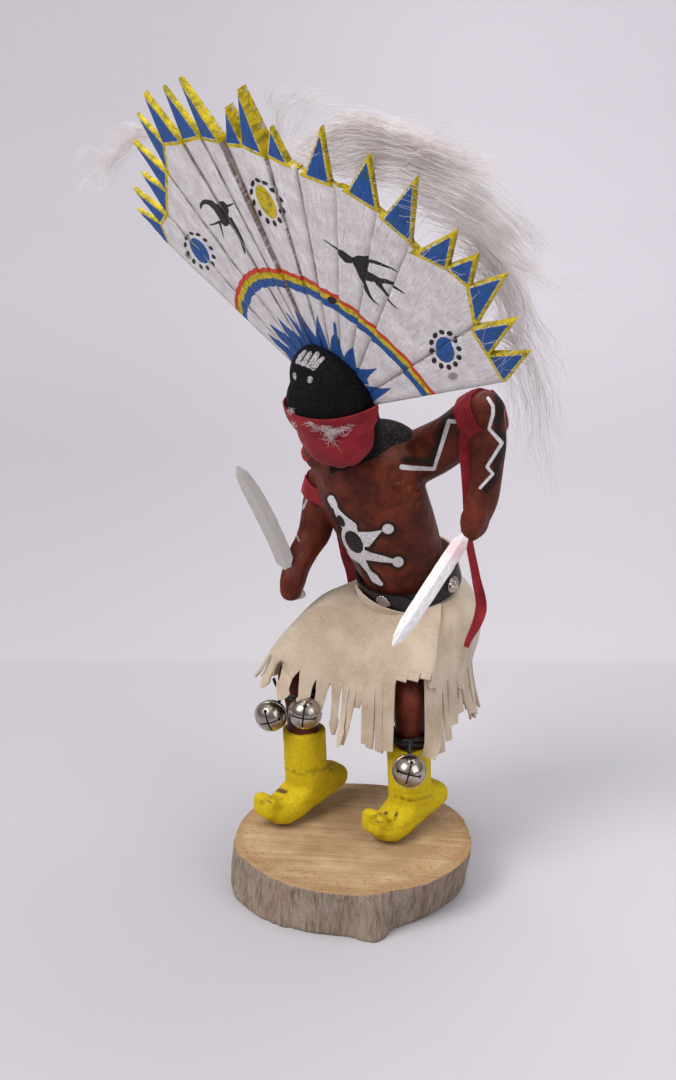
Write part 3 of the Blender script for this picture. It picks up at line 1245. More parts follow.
FUR_LOCKS = [
    # hairs, spread at the root and at the end in picture points, depth behind the slats, the lock's course
    (46, 7, 5, (5, 12), ((296, 150), (330, 130), (362, 123), (395, 136), (425, 138), (447, 129))),
    (70, 5, 4, (5, 14), ((330, 120), (362, 119), (390, 129), (415, 137), (445, 150), (472, 153))),
    (150, 9, 4, (5, 14), ((318, 150), (348, 131), (385, 140), (425, 152), (462, 161), (490, 163))),
    (150, 10, 4, (5, 14), ((338, 165), (372, 150), (405, 151), (445, 164), (480, 168), (507, 174))),
    (90, 8, 6, (4, 8), ((286, 146), (310, 152), (335, 160), (360, 170), (385, 176))),
    (80, 9, 8, (4, 8), ((352, 176), (385, 172), (415, 186), (440, 202), (462, 222))),
    (170, 12, 8, (5, 15), ((392, 166), (432, 178), (468, 194), (496, 215), (519, 238), (536, 262))),
    (120, 12, 5, (5, 14), ((416, 196), (452, 205), (484, 226), (510, 254), (532, 272), (560, 280))),
    (110, 10, 8, (5, 12), ((432, 214), (468, 230), (494, 254), (510, 288), (519, 320), (527, 350))),
    (70, 8, 8, (5, 14), ((450, 246), (486, 258), (511, 285), (526, 315), (541, 340), (556, 372))),
    (70, 7, 6, (4, 8), ((470, 262), (492, 276), (506, 300), (514, 330), (520, 352))),
    (34, 6, 3, (5, 12), ((484, 318), (512, 332), (530, 362), (541, 402), (548, 450), (552, 500))),
    (26, 6, 5, (5, 12), ((490, 336), (522, 352), (546, 380), (560, 410), (566, 446))),
    (16, 5, 4, (5, 8), ((498, 356), (509, 378), (514, 405), (513, 440))),
    (26, 6, 5, (5, 10), ((500, 346), (519, 372), (528, 402), (527, 430), (531, 462))),
    (20, 5, 5, (5, 10), ((284, 142), (277, 112), (297, 98), (322, 104), (350, 119))),
    (12, 4, 5, (5, 10), ((292, 140), (300, 118), (303, 104), (318, 96), (340, 108))),
    (8, 3, 4, (5, 9), ((280, 128), (268, 104), (288, 91), (318, 96))),
    (8, 2, 1, (8, 14), ((505, 262), (535, 272), (562, 287), (592, 291))),
    (16, 5, 3, (6, 12), ((400, 150), (432, 146), (452, 156), (473, 152))),
    (34, 4, 5, (5, 6), ((152, 134), (132, 126), (112, 134), (98, 147))),
    (36, 4, 7, (5, 6), ((152, 136), (126, 140), (110, 166), (89, 201))),
    (24, 5, 6, (5, 6), ((148, 136), (118, 158), (106, 178), (98, 200))),
    (24, 5, 7, (5, 6), ((146, 132), (108, 152), (94, 176), (77, 195))),
    (7, 3, 2, (5, 6), ((108, 166), (96, 152), (82, 151), (64, 162))),
]
POINT = 0.00040
HAIR_STEPS = 12
FUR_LEFT = -0.151


def on_plane(px, py, point):
    """Where the sight line of a picture point meets the plane of the fan's back through a point."""
    aim = sight_line(px, py)
    normal = FAN_BACK
    share = (Vector(point) - CAMERA_PLACE).dot(normal) / aim.dot(normal)
    return CAMERA_PLACE + aim * share


def lock_paths(draw, line, hairs, near, far):
    """Hairs that follow one lock's course, each with its own length, place and curl."""
    hairs = int(hairs * 1.15)
    t = np.linspace(0, 1, HAIR_STEPS)[None, :]
    begin = 0.18 * draw.random((hairs, 1))
    end = 1 - 0.42 * draw.random((hairs, 1)) ** 1.6
    share = begin + (end - begin) * t
    index = np.linspace(0, 1, len(line))
    fine = np.linspace(0, 1, 60)
    smoothed = np.stack([np.interp(fine, index, line[:, i]) for i in range(3)], axis=1)
    for _ in range(14):
        smoothed[1:-1] = (smoothed[:-2] + smoothed[1:-1] * 2 + smoothed[2:]) / 4
    course = np.stack([np.interp(share, fine, smoothed[:, i]) for i in range(3)], axis=2)
    away = draw.normal(size=(hairs, 1, 3)) * near
    fan_out = draw.normal(size=(hairs, 1, 3)) * far
    grown = share[:, :, None]
    paths = course + away * (1 - grown) + (away * 0.4 + fan_out) * grown
    tuft = draw.integers(0, max(2, hairs // 9), hairs)
    for width, turns, alone in ((0.0022, 0.8, 0.4), (0.0013, 1.9, 0.7), (0.0006, 3.8, 1.0)):
        phase = draw.random((hairs, 1, 1))[tuft] * 2 * pi + alone * draw.normal(size=(hairs, 1, 1))
        side = draw.normal(size=(hairs, 1, 3))[tuft] + alone * draw.normal(size=(hairs, 1, 3))
        paths = paths + side * width * grown * np.sin(turns * 2 * pi * grown + phase)
    return paths


def sight_point(px, py, point):
    """A point of the sight line that is level with another point, kept off the far left."""
    aim = sight_line(px, py)
    share = (point - CAMERA_PLACE).dot(LOOK) / aim.dot(LOOK)
    spot = CAMERA_PLACE + aim * share
    if spot.x < FUR_LEFT:
        spot = CAMERA_PLACE + aim * ((FUR_LEFT - CAMERA_PLACE.x) / aim.x)
    return spot


def hair_material(name, colour, dark):
    p = Paint(name, roughness=0.55, specular=0.3)
    shade = p.noise(p.place(), 90, 3, 0.6)
    return p.finish(p.mix(p.span(shade, 0.35, 0.65), dark, colour))


def make_fur():
    material = hair_material("fur_hair", rgb("#ece4e2"), rgb("#d2c7c3"))
    draw = np.random.default_rng(21)
    groups = []
    root_of_left = Vector(fan_place(np.array([radians(-60.0)]), np.array([134.0]), np.array([-5.0]))[0])
    for hairs, near, far, depths, course in FUR_LOCKS:
        line = []
        for k, (px, py) in enumerate(course):
            share = k / (len(course) - 1)
            x, y = fan_at(px, py)
            angle = min(max(atan2(x, y), radians(-70)), radians(74))
            reach = min(max(sqrt(x * x + y * y), 100.0), 172.0)
            depth = depths[0] + (depths[1] - depths[0]) * share
            behind = fan_place(np.array([angle]), np.array([reach]), np.array([-depth - 1.0]))[0]
            if px > 160:
                line.append(list(on_plane(px, py, behind)))
                continue
            spot = sight_point(px, py, root_of_left)
            line.append(list(spot))
        groups.append(lock_paths(draw, np.array(line), hairs, near * POINT, far * POINT))
    middle = len(FUR_LOCKS) // 4
    count = 34
    aim = 34 + 30 * draw.random(count)
    starts = fan_points(aim, 0.146 + 0.012 * draw.random(count), np.full(count, -0.004))
    ends = fan_points(aim + 5 * draw.normal(size=count), 0.112 + 0.024 * draw.random(count),
                      0.0042 + 0.003 * draw.random(count))
    middles = (starts + ends) / 2 + np.array(-FAN_BACK) * 0.006
    loose = curled(starts, middles, ends, HAIR_STEPS, ((0.0010, 1.0),), draw)
    for number, paths in enumerate((np.vstack(groups[:middle]), np.vstack(groups[middle:] + [loose]))):
        paths[:, :, 2] = np.minimum(paths[:, :, 2], 0.3895)
        paths[:, :, 0] = np.maximum(paths[:, :, 0], FUR_LEFT - 0.005)
        mesh = strands("fur_%d" % number, paths, 0.00007, 0.00003)
        made = new_object("fur_locks_%d" % (number + 1), mesh, material)
        finished(made, "fur_trim")


make_fur()


# Kilt

WAIST_CENTRE = Vector((MIDLINE + 0.0010, 0.0535, 0.1430))
WAIST_WIDE = 0.0260
WAIST_DEEP = 0.0220
BELT_HEIGHT = 0.0095
BELT_THICK = 0.0014
CLEAR = 0.0003
HEM = [
    (-56, -3, 105), (-51, -11, 107), (-44, -15, 110), (-36, -14, 109), (-27, -6, 104), (-16, 4, 97),
    (-3, 10, 98), (9, 11, 103), (20, 17, 105), (27, 30, 102), (27, 43, 100), (21, 55, 101), (13, 66, 100),
    (4, 76, 98), (-8, 84, 96), (-22, 85, 94), (-37, 79, 94), (-48, 66, 96), (-55, 47, 99), (-58, 24, 102),
]
FRINGE_END = [
    (-58, -5, 91), (-52, -17, 96), (-43, -20, 95), (-34, -18, 92), (-25, -10, 84), (-16, 0, 74),
    (-4, 7, 72), (8, 10, 72), (20, 16, 69), (29, 31, 71), (29, 43, 76), (25, 57, 74), (17, 69, 71),
    (6, 79, 69), (-7, 87, 67), (-22, 88, 66), (-38, 82, 66), (-50, 68, 69), (-57, 48, 75), (-60, 22, 83),
]
KILT_HEART_Y = 0.038
HIP_SWELL = 0.0090
FRONT_SWELL = 0.0018
THIGH_LIFT = 0.0075
THIGH_LIFT_ANGLE = -137.0
THIGH_LIFT_WIDTH = 38.0
SUEDE_THICK = 0.0011
STRIP_COLUMNS = 6
KILT_START = 11.4         # the under edge of the wrap, in 28ths of a turn
KILT_END = 12.45 + 28     # its outer edge


def spine_axis():
    return Vector((0, -sin(radians(LEAN)), cos(radians(LEAN))))


def bump(turn, middle, width):
    off = (degrees(turn) - middle + 180) % 360 - 180
    return exp(-(off / width) ** 2)


def loop_point(points, share):
    count = len(points)
    place_on = (share % 1.0) * count
    i = int(place_on)
    t = place_on - i
    p0, p1, p2, p3 = (Vector(points[(i + j) % count]) for j in (-1, 0, 1, 2))
    return 0.5 * ((2 * p1) + (p2 - p0) * t + (2 * p0 - 5 * p1 + 4 * p2 - p3) * t * t
                  + (3 * p1 - p0 - 3 * p2 + p3) * t ** 3)


def bearing_ring(points, count):
    """A curve's points at even bearings round the figure."""
    fine = np.array([list(loop_point(points, k / 1440)) for k in range(1440)]) / 1000
    flat = fine[:, :2] - np.array([MIDLINE, KILT_HEART_Y])
    bearing = np.degrees(np.arctan2(flat[:, 1], flat[:, 0]))
    order = np.argsort(bearing)
    want = -180 + 360 * np.arange(count) / count
    table = np.vstack([fine[order][-3:], fine[order], fine[order][:3]])
    angle = np.r_[bearing[order][-3:] - 360, bearing[order], bearing[order][:3] + 360]
    return np.stack([np.interp(want, angle, table[:, i]) for i in range(3)], axis=1)


def waist_point(turn, grow=0.0):
    axis = spine_axis()
    side = Vector((1, 0, 0))
    front = axis.cross(side)
    return WAIST_CENTRE + side * (WAIST_WIDE + grow) * cos(turn) + front * (WAIST_DEEP + grow) * sin(turn)


RING = 336
HEM_RING = bearing_ring(HEM, RING)
END_RING = bearing_ring(FRINGE_END, RING)


def from_ring(ring, column):
    """A point of a ring at a fraction of a 28th turn."""
    place_on = (column / 28 * RING) % RING
    i = int(place_on)
    t = place_on - i
    return Vector(ring[i]) * (1 - t) + Vector(ring[(i + 1) % RING]) * t


TOP_TABLE = [
    # column, height of the upper edge over the belt's lower edge, distance out from the waist
    (11.4, 9.0, -0.4), (12.4, 13.0, -0.4), (14.0, 16.5, -0.4), (16.5, 16.5, -0.4), (19.0, 15.0, -0.4), (29.6, 13.0,
                                                                                                        -0.4),
    (30.4, 0.5, -0.4), (31.0, 0.5, 2.6), (31.7, 6.0, 3.0), (33.0, 7.5, 3.2), (34.2, 6.2, 3.4), (35.2, 5.0, 3.8),
    (36.2, 3.4, 3.8), (37.2, 1.2, 3.0), (38.5, 0.2, 1.8), (40.5, 0.2, 1.2),
]


def kilt_surface(column, share, sway):
    """The skirt's outer face at a column: -1 is its upper edge, 0 the belt's lower edge, 1 the hem, 2 the fringe's end."""
    turned = column % 28
    turn = -pi + 2 * pi * turned / 28
    behind = max(0.0, sin(turn)) ** 0.7
    axis = spine_axis()
    low_edge = waist_point(turn) - axis * (BELT_HEIGHT / 2 + 0.0008)
    flat = (waist_point(turn, 1.0) - waist_point(turn)).normalized()
    table = TOP_TABLE
    rise = np.interp(column, [r[0] for r in table], [r[1] for r in table]) / 1000
    out_by = np.interp(column, [r[0] for r in table], [r[2] for r in table]) / 1000
    low_edge = low_edge + flat * out_by
    if share <= 0:
        flare = 0.0016 * share * share if out_by < 0 else 0.0
        return low_edge + axis * rise * -share + flat * flare
    hem = from_ring(HEM_RING, turned)
    end = from_ring(END_RING, turned)
    out = Vector((cos(turn), sin(turn), 0))
    if share > 1:
        spot = hem.lerp(end, share - 1)
        return spot + out * sway
    swell = FRONT_SWELL + (HIP_SWELL - FRONT_SWELL) * behind
    thigh = THIGH_LIFT * bump(turn, THIGH_LIFT_ANGLE, THIGH_LIFT_WIDTH)
    lift = 0.0030 * sin(pi * share) + thigh * sin(pi * share ** 0.8)
    spot = low_edge.lerp(hem, share) + out * swell * sin(pi * share) + Vector((0, 0, lift))
    return spot + out * sway * share


SLIT_TABLE = [(0, 0.97), (4, 0.97), (8.2, 1.0), (9.0, 0.92), (10.8, 0.90), (10.95, 0.84), (12.4, 0.84), (12.5, 1.0),
              (13.8, 0.98), (14.6, 0.80), (16.5, 0.78), (18, 0.94), (28, 0.97)]
END_TABLE = [(0, 1.95), (4.2, 1.95), (6.0, 1.98), (7.4, 1.95), (7.7, 2.12), (8.25, 2.05), (8.4, 1.35), (8.85, 1.30),
             (8.95, 2.05), (10.92, 2.04), (10.98, 0.94), (12.42, 0.94), (12.5, 2.02), (13.4, 2.0), (13.9,
                                                                                                    1.85), (14.5, 1.62),
             (16.0, 1.80), (17.5, 1.95), (28, 1.95)]


def from_table(table, column):
    return float(np.interp(column % 28, [r[0] for r in table], [r[1] for r in table]))


def fold_of(column):
    """How far the suede stands out in soft folds, at the hem."""
    a = 2 * pi * column / 28
    return 0.0011 * sin(5 * a + 0.7) + 0.0009 * sin(9 * a + 2.1) + 0.0006 * sin(14 * a + 0.4)


def make_kilt():
    draw = np.random.default_rng(8)
    columns = int(round((KILT_END - KILT_START) * 12))
    bm = bmesh.new()
    grid = []
    rows = [-1 + r / 5 for r in range(5)] + [0.0]
    body_rows = 22
    for c in range(columns + 1):
        column = KILT_START + c / 12
        over = min(1.0, max(0.0, (column - 37.2) / 1.6))
        over = over * over * (3 - 2 * over) * 0.0021
        slit = from_table(SLIT_TABLE, column)
        if column < 12.5:
            slit = 0.80
        shares = rows + [slit * (r + 1) / body_rows for r in range(body_rows)]
        line = []
        for share in shares:
            spot = kilt_surface(column, share, fold_of(column))
            turn = -pi + 2 * pi * (column % 28) / 28
            out = Vector((cos(turn), sin(turn), 0))
            ripple = 0.00035 * sin(11 * share + column * 1.7) * max(0.0, min(1.0, share * 3)) * (1 if share > 0 else 0)
            spot = spot + out * (over * (1.0 if share >= 0 else 1 + share) + ripple)
            line.append(bm.verts.new(spot))
        grid.append(line)
    for a, b in zip(grid, grid[1:]):
        for r in range(len(a) - 1):
            bm.faces.new((a[r], b[r], b[r + 1], a[r + 1]))
    steps = 14
    for s in range(columns // STRIP_COLUMNS):
        first = s * STRIP_COLUMNS
        middle = KILT_START + (first + STRIP_COLUMNS / 2) / 12
        turned = middle % 28
        over = min(1.0, max(0.0, (middle - 37.2) / 1.6))
        over = over * over * (3 - 2 * over) * 0.0021
        slit = from_table(SLIT_TABLE, middle)
        end = from_table(END_TABLE, middle) + draw.normal() * 0.035
        if middle < 12.5:
            slit = 0.80
            end = 0.92
        flap = 10.95 < turned < 12.45 and middle > 30
        bundle = 8.9 <= turned <= 10.95
        left = 3.5 < turned < 8.3
        curl_out = draw.normal() * 0.0010 + 0.0006
        curl_side = draw.normal() * 0.0012
        twist = draw.normal() * 0.30
        taper = 0.86
        if left:
            curl_out = 0.0012 + abs(draw.normal()) * (0.0026 if turned > 5.2 else 0.0008)
            curl_side = draw.normal() * 0.0016
            twist = draw.normal() * 0.40
            taper = 0.24
        if bundle:
            curl_out = 0.0004 * (-1) ** s + 0.0004
            curl_side = 0.0003 * draw.normal()
            twist = draw.normal() * 0.10
            end = end + draw.normal() * 0.01
        if flap:
            curl_out = 0.0
            curl_side = 0.0
            twist = 0.0
            taper = 0.97
        turn = -pi + 2 * pi * turned / 28
        out = Vector((cos(turn), sin(turn), 0))
        top = grid[first:first + STRIP_COLUMNS + 1]
        before = [line[-1] for line in top]
        width = (before[-1].co - before[0].co).length
        side0 = (before[-1].co - before[0].co).normalized()
        start_middle = (before[-1].co + before[0].co) / 2
        centre0 = kilt_surface(middle, slit, fold_of(middle)) + out * over
        drift = start_middle - centre0
        for r in range(1, steps + 1):
            t = r / steps
            share = slit + (end - slit) * t
            base_sway = fold_of(middle) if share <= 1 else fold_of(middle) * (1 - 0.5 * (share - 1))
            centre = kilt_surface(middle, share, base_sway) + out * over + drift * (1 - t)
            ahead = kilt_surface(middle, share + 0.02, base_sway) + out * over
            down = (ahead - centre).normalized()
            side = (side0 - down * side0.dot(down)).normalized()
            normal = side.cross(down).normalized()
            if normal.dot(out) < 0:
                normal = -normal
            bend = t ** 1.7
            centre = centre + normal * curl_out * bend + side * curl_side * bend
            spin = twist * bend
            turned_side = side * cos(spin) + normal * sin(spin)
            shrink_by = 1 - (0.05 if bundle or flap else 0.15) * min(1.0, t * 5)
            if left and t > 0.7:
                shrink_by *= 1 - (1 - taper) * ((t - 0.7) / 0.3) ** 1.5
            elif not flap:
                shrink_by *= 1 - (1 - taper) * t * 0.5
            line = []
            for k in range(STRIP_COLUMNS + 1):
                x = (k / STRIP_COLUMNS - 0.5) * width * shrink_by
                cup = normal * (0.00035 * bend * (1 - (2 * k / STRIP_COLUMNS - 1) ** 2))
                line.append(bm.verts.new(centre + turned_side * x + cup))
            for k in range(STRIP_COLUMNS):
                bm.faces.new((before[k], before[k + 1], line[k + 1], line[k]))
            before = line
    mesh = bpy.data.meshes.new("kilt_flat")
    bm.to_mesh(mesh)
    bm.free()
    thick = applied(mesh, "kilt", [("SOLIDIFY", {"thickness": SUEDE_THICK, "offset": 0.0, "use_even_offset": False})])
    smooth(thick, 48)
    made = new_object("suede_kilt", thick, suede_material())
    finished(made, "kilt")
    # Cut as a band as long as the line of the strips' ends, 0.072 m high on average and 0.092 m at the longest strip.
    return made


def suede_material():
    p = Paint("suede", roughness=0.95, sheen=0.35, specular=0.15)
    place = p.place()
    cloud = p.noise(place, 60, 5, 0.6)
    nap = p.noise(place, 900, 4, 0.7)
    fibre = p.noise(p.place((1, 1, 0.35)), 2200, 3, 0.7)
    colour = p.mix(p.span(cloud, 0.32, 0.68), rgb("#ab9780"), rgb("#c4b29c"))
    colour = p.mix(p.math("MULTIPLY", p.span(nap, 0.35, 0.7), 0.40), colour, rgb("#cbbdad"))
    colour = p.mix(p.math("MULTIPLY", p.span(fibre, 0.58, 0.75), 0.30), colour, rgb("#8e7c65"))
    height = p.math("ADD", p.math("MULTIPLY", nap, 0.6), p.math("MULTIPLY", fibre, 0.5))
    normal = p.bump(cloud, 0.25, 0.0012)
    normal = p.bump(height, 0.55, 0.00035, normal)
    return p.finish(colour, None, normal)


# Belt and discs

CONCHO_BEARINGS = (99, 185)
CONCHO_RADIUS = 0.0042


def leather_material():
    p = Paint("black_leather", roughness=0.45, specular=0.4)
    place = p.place()
    grain = p.cells(place, 1600)
    cloud = p.noise(place, 160, 4, 0.6)
    colour = p.mix(p.span(cloud, 0.4, 0.7), rgb("#0b0b0c"), rgb("#1f1d1d"))
    normal = p.bump(grain, 0.35, 0.0003)
    return p.finish(colour, p.span(cloud, 0.3, 0.7, 0.36, 0.55), normal)


def nickel_material():
    p = Paint("nickel", roughness=0.20, metallic=1.0)
    place = p.place()
    cloud = p.noise(place, 180, 5, 0.65)
    pits = p.noise(place, 1400, 3, 0.7)
    colour = p.mix(p.span(cloud, 0.38, 0.72), rgb("#b9b1a8"), rgb("#8c837a"))
    rough = p.span(cloud, 0.3, 0.75, 0.15, 0.34)
    normal = p.bump(pits, 0.06, 0.0002)
    return p.finish(colour, rough, normal)


def make_belt():
    axis = spine_axis()
    count = 220
    start = 9.9
    length = 28.9
    bm = bmesh.new()
    rows = []
    for k in range(count + 1):
        share = k / count
        column = start + length * share
        turn = -pi + 2 * pi * (column % 28) / 28
        over = 0.0016 * max(0.0, min(1.0, (share - 0.93) / 0.045))
        half = BELT_HEIGHT / 2
        tip = max(0.0, (share - 0.965) / 0.035)
        half_low = half * (1 - tip ** 1.3 * 0.96)
        drop = 0.0020 * max(0.0, (share - 0.95) / 0.05) ** 1.4
        row = []
        for part, height in ((0.0, -1), (0.12, -0.55), (0.14, 0.0), (0.12, 0.55), (0.0, 1.0)):
            grow = CLEAR + BELT_THICK + over + part * 0.001
            row.append(waist_point(turn, grow) + axis * (half_low * height * 0.985 - drop))
        for height in (1.0, 0.0, -1.0):
            row.append(waist_point(turn, CLEAR + over + 0.0001) + axis * (half_low * height * 0.96 - drop))
        rows.append(row)
    skin(bm, rows)
    mesh = mesh_from("belt", bm, 50)
    made = new_object("leather_belt", mesh, leather_material())
    finished(made, "belt")


def make_conchos():
    nickel = nickel_material()
    for number, bearing in enumerate(CONCHO_BEARINGS):
        turn = -pi + 2 * pi * bearing / 360
        spot = waist_point(turn, CLEAR * 2 + BELT_THICK)
        out = (waist_point(turn, 0.01) - waist_point(turn)).normalized()
        side = out.orthogonal().normalized()
        up = out.cross(side)
        rows = []
        profile = [(0.0, 0.0), (0.98, 0.0), (1.0, 0.10), (0.96, 0.20), (0.90, 0.14), (0.82, 0.22), (0.6, 0.50),
                   (0.3, 0.66),
                   (0.02, 0.70)]
        bm = bmesh.new()
        for radius, high in profile[1:]:
            row = []
            for k in range(48):
                a = 2 * pi * k / 48
                scallop = 1 + (0.035 * cos(12 * a) if radius > 0.88 else 0)
                flute = 0.00012 * cos(12 * a) if 0.25 < radius < 0.9 else 0.0
                r = CONCHO_RADIUS * radius * scallop
                row.append(spot + side * r * cos(a) + up * r * sin(a) + out * (high * 0.0022 + flute))
            rows.append(row)
        skin(bm, rows)
        mesh = mesh_from("concho", bm, 35)
        made = new_object("concho_disc_%d" % (number + 1), mesh, nickel)
        finished(made, "concho_%d" % (number + 1))
    return nickel


make_kilt()
make_belt()
NICKEL = make_conchos()


# Bells and their thongs

BELL_RADIUS = 0.0079
BELL_WALL = 0.0006
BELL_BACK = Vector((-0.68, 0.72, -0.10)).normalized()
RIGHT_STRAP = Vector((-0.0384, 0.0005, 0.0890))
LEFT_STRAP = Vector((0.0120, 0.0270, 0.0735))
RIGHT_BELLS = [(-0.0430, -0.0150, 0.0792), (-0.0238, -0.0100, 0.0850)]
LEFT_BELLS = [(0.0245, 0.0125, 0.0632)]


def bell_mesh():
    """A sleigh bell round the origin: its slots face along -Z and its ring is on +Z."""
    outer = bmesh.new()
    rows = []
    for t in range(-88, 89, 8):
        a = radians(t)
        radius = BELL_RADIUS * cos(a)
        rows.append(oval(Vector((0, 0, BELL_RADIUS * sin(a) * 0.97)), Vector((0, 0, 1)), Vector((1, 0, 0)), radius,
                         radius, 48))
    skin(outer, rows)
    shell = mesh_from("bell_shell", outer)
    inner = bmesh.new()
    ball(inner, (0, 0, 0), (BELL_RADIUS - BELL_WALL,) * 3, rings=20, count=40)
    tools = [inner]
    for wide, narrow in ((Vector((1, 0, 0)), Vector((0, 1, 0))), (Vector((0, 1, 0)), Vector((1, 0, 0)))):
        slot = bmesh.new()
        size = Matrix.Diagonal((BELL_RADIUS * 1.42, 0.00075, BELL_RADIUS, 1.0))
        basis = Matrix((wide, narrow, wide.cross(narrow))).transposed().to_4x4()
        bmesh.ops.create_cube(slot, size=1.0, matrix=Matrix.Translation((0, 0, -BELL_RADIUS * 0.88)) @ basis @ size)
        tools.append(slot)
    for sx, sy in ((1, 0), (-1, 0), (0, 1), (0, -1)):
        hole = bmesh.new()
        place_at = Vector((sx, sy, 0)) * BELL_RADIUS * 0.71 + Vector((0, 0, -BELL_RADIUS * 0.68))
        ball(hole, place_at, (0.00095,) * 3, rings=8, count=14)
        tools.append(hole)
    holders = []
    steps = []
    for index, tool in enumerate(tools):
        mesh = bpy.data.meshes.new("tool")
        bmesh.ops.recalc_face_normals(tool, faces=tool.faces)
        tool.to_mesh(mesh)
        tool.free()
        holder = bpy.data.objects.new("tool_%d" % index, mesh)
        scene.collection.objects.link(holder)
        holders.append(holder)
        steps.append(("BOOLEAN", {"operation": "DIFFERENCE", "solver": "EXACT", "object": holder}))
    mesh = shell
    for index, step in enumerate(steps):
        mesh = applied(mesh, "bell_%d" % index, [step])
    for holder in holders:
        bpy.data.objects.remove(holder, do_unlink=True)
    return mesh


def ring_rows(centre, axis, side, radius, profile, count=48):
    """Rows round an axis whose section is a list of (out, along)."""
    axis = axis.normalized()
    side = (side - axis * side.dot(axis)).normalized()
    front = axis.cross(side)
    rows = []
    for k in range(count):
        a = 2 * pi * k / count
        out = side * cos(a) + front * sin(a)
        rows.append([centre + out * (radius + x) + axis * z for x, z in profile])
    return rows


def make_bells():
    shell = bell_mesh()
    spins = (0.35, 0.80, 0.95)
    tilts = (Vector((0.10, 0.05, 0.22)), Vector((0.0, 0.1, 0.05)), Vector((0.05, 0.0, -0.12)))
    for number, place_at in enumerate(RIGHT_BELLS + LEFT_BELLS):
        axis = (BELL_BACK + tilts[number]).normalized()
        turn = Vector((0, 0, 1)).rotation_difference(axis).to_matrix().to_4x4() @ Matrix.Rotation(spins[number], 4, "Z")
        move = Matrix.Translation(Vector(place_at)) @ turn
        bm = bmesh.new()
        bm.from_mesh(shell)
        lip = [(0.0, -0.00045), (0.00042, -0.00034), (0.00052, 0.0), (0.00042, 0.00034), (0.0, 0.00045), (-0.0003, 0.0)]
        skin(bm, ring_rows(Vector((0, 0, 0)), Vector((0, 0, 1)), Vector((1, 0, 0)), BELL_RADIUS - 0.0001, lip),
             close_ends=False, closed_path=True)
        wire = [(0.0004 * cos(2 * pi * k / 8), 0.0004 * sin(2 * pi * k / 8)) for k in range(8)]
        skin(bm, ring_rows(Vector((0, 0, BELL_RADIUS + 0.0006)), Vector((0, 1, 0)), Vector((1, 0, 0)), 0.0012, wire, 24),
             close_ends=False, closed_path=True)
        ball(bm, (0.001, -0.0015, -0.0042), (0.0021,) * 3, rings=12, count=18)
        bmesh.ops.transform(bm, matrix=move, verts=bm.verts)
        mesh = bpy.data.meshes.new("bell")
        bm.to_mesh(mesh)
        bm.free()
        smooth(mesh, 35)
        made = new_object("round_bell_%d" % (number + 1), mesh, NICKEL)
        finished(made, "bell_%d" % (number + 1))


def tube(bm, points, radius, sides=8, squash=1.0):
    """A thong or wire through points, smoothly curved."""
    stations = [(p, radius, radius * squash) for p in points]
    fine = smooth_stations(stations, 5)
    rows = []
    last = len(fine) - 1
    for i, (centre, wide, deep) in enumerate(fine):
        axis = (Vector(fine[min(i + 1, last)][0]) - Vector(fine[max(i - 1, 0)][0])).normalized()
        rows.append(oval(Vector(centre), axis, Vector((0.3, 0.2, 1.0)), wide, deep, sides))
    skin(bm, rows)


def make_thongs():
    material = leather_material()
    for side, middle, bells, radii in (("right", RIGHT_STRAP, RIGHT_BELLS, (0.0090, 0.0094)),
                                       ("left", LEFT_STRAP, LEFT_BELLS, (0.0089, 0.0093))):
        bm = bmesh.new()
        for level, tilt in ((0.0011, 0.4), (-0.0011, -0.3)):
            points = []
            for k in range(25):
                a = 2 * pi * k / 24
                wave = 0.0004 * sin(2 * a + tilt * 3)
                points.append((middle.x + radii[0] * cos(a), middle.y + radii[1] * sin(a), middle.z + level + wave))
            tube(bm, points, 0.0011, 8)
        for centre in bells:
            at = Vector(centre)
            towards = Vector((at.x - middle.x, at.y - middle.y, 0)).normalized()
            start = middle + towards * (radii[0] + 0.0002)
            top = at - (at - start).normalized() * (BELL_RADIUS - 0.0004)
            tube(bm, [start + Vector((0, 0, 0.0012)), start.lerp(top, 0.5) + Vector((0, 0, 0.0012)), top], 0.0009, 8)
            tube(bm, [start - Vector((0, 0, 0.0012)), start.lerp(top, 0.5) - Vector((0.0008, 0, 0.0008)), top],
                 0.0009, 8)
            ball(bm, start + towards * 0.0005, (0.0019, 0.0017, 0.0022), rings=10, count=14)
        if side == "left":
            root = middle + Vector((0.0095, 0.002, 0.0))
            tube(bm, [root, root + Vector((0.003, 0.000, 0.0022)), root + Vector((0.0055, 0.001, 0.0062))], 0.0008, 8)
            tube(bm, [root, root + Vector((0.0032, 0.0, -0.0015)), root + Vector((0.0060, 0.001, -0.0040))], 0.0008, 8)
            ball(bm, root, (0.0018, 0.0018, 0.0020), rings=10, count=14)
        else:
            root = middle + Vector((-0.0035, -0.0085, 0.0010))
            tube(bm, [root, root + Vector((-0.003, -0.0015, 0.003)), root + Vector((-0.0045, -0.002, 0.0065))],
                 0.0008, 8)
        mesh = mesh_from("thong", bm, 50)
        made = new_object("bell_thong_" + side, mesh, material)
        finished(made, "bell_strap_" + side)


make_bells()
make_thongs()


# Swords

SWORD_WIDTH = 0.0074
SWORD_THICK = 0.0034
GRIP_WIDTH = 0.0046
GRIP_LENGTH = 0.019


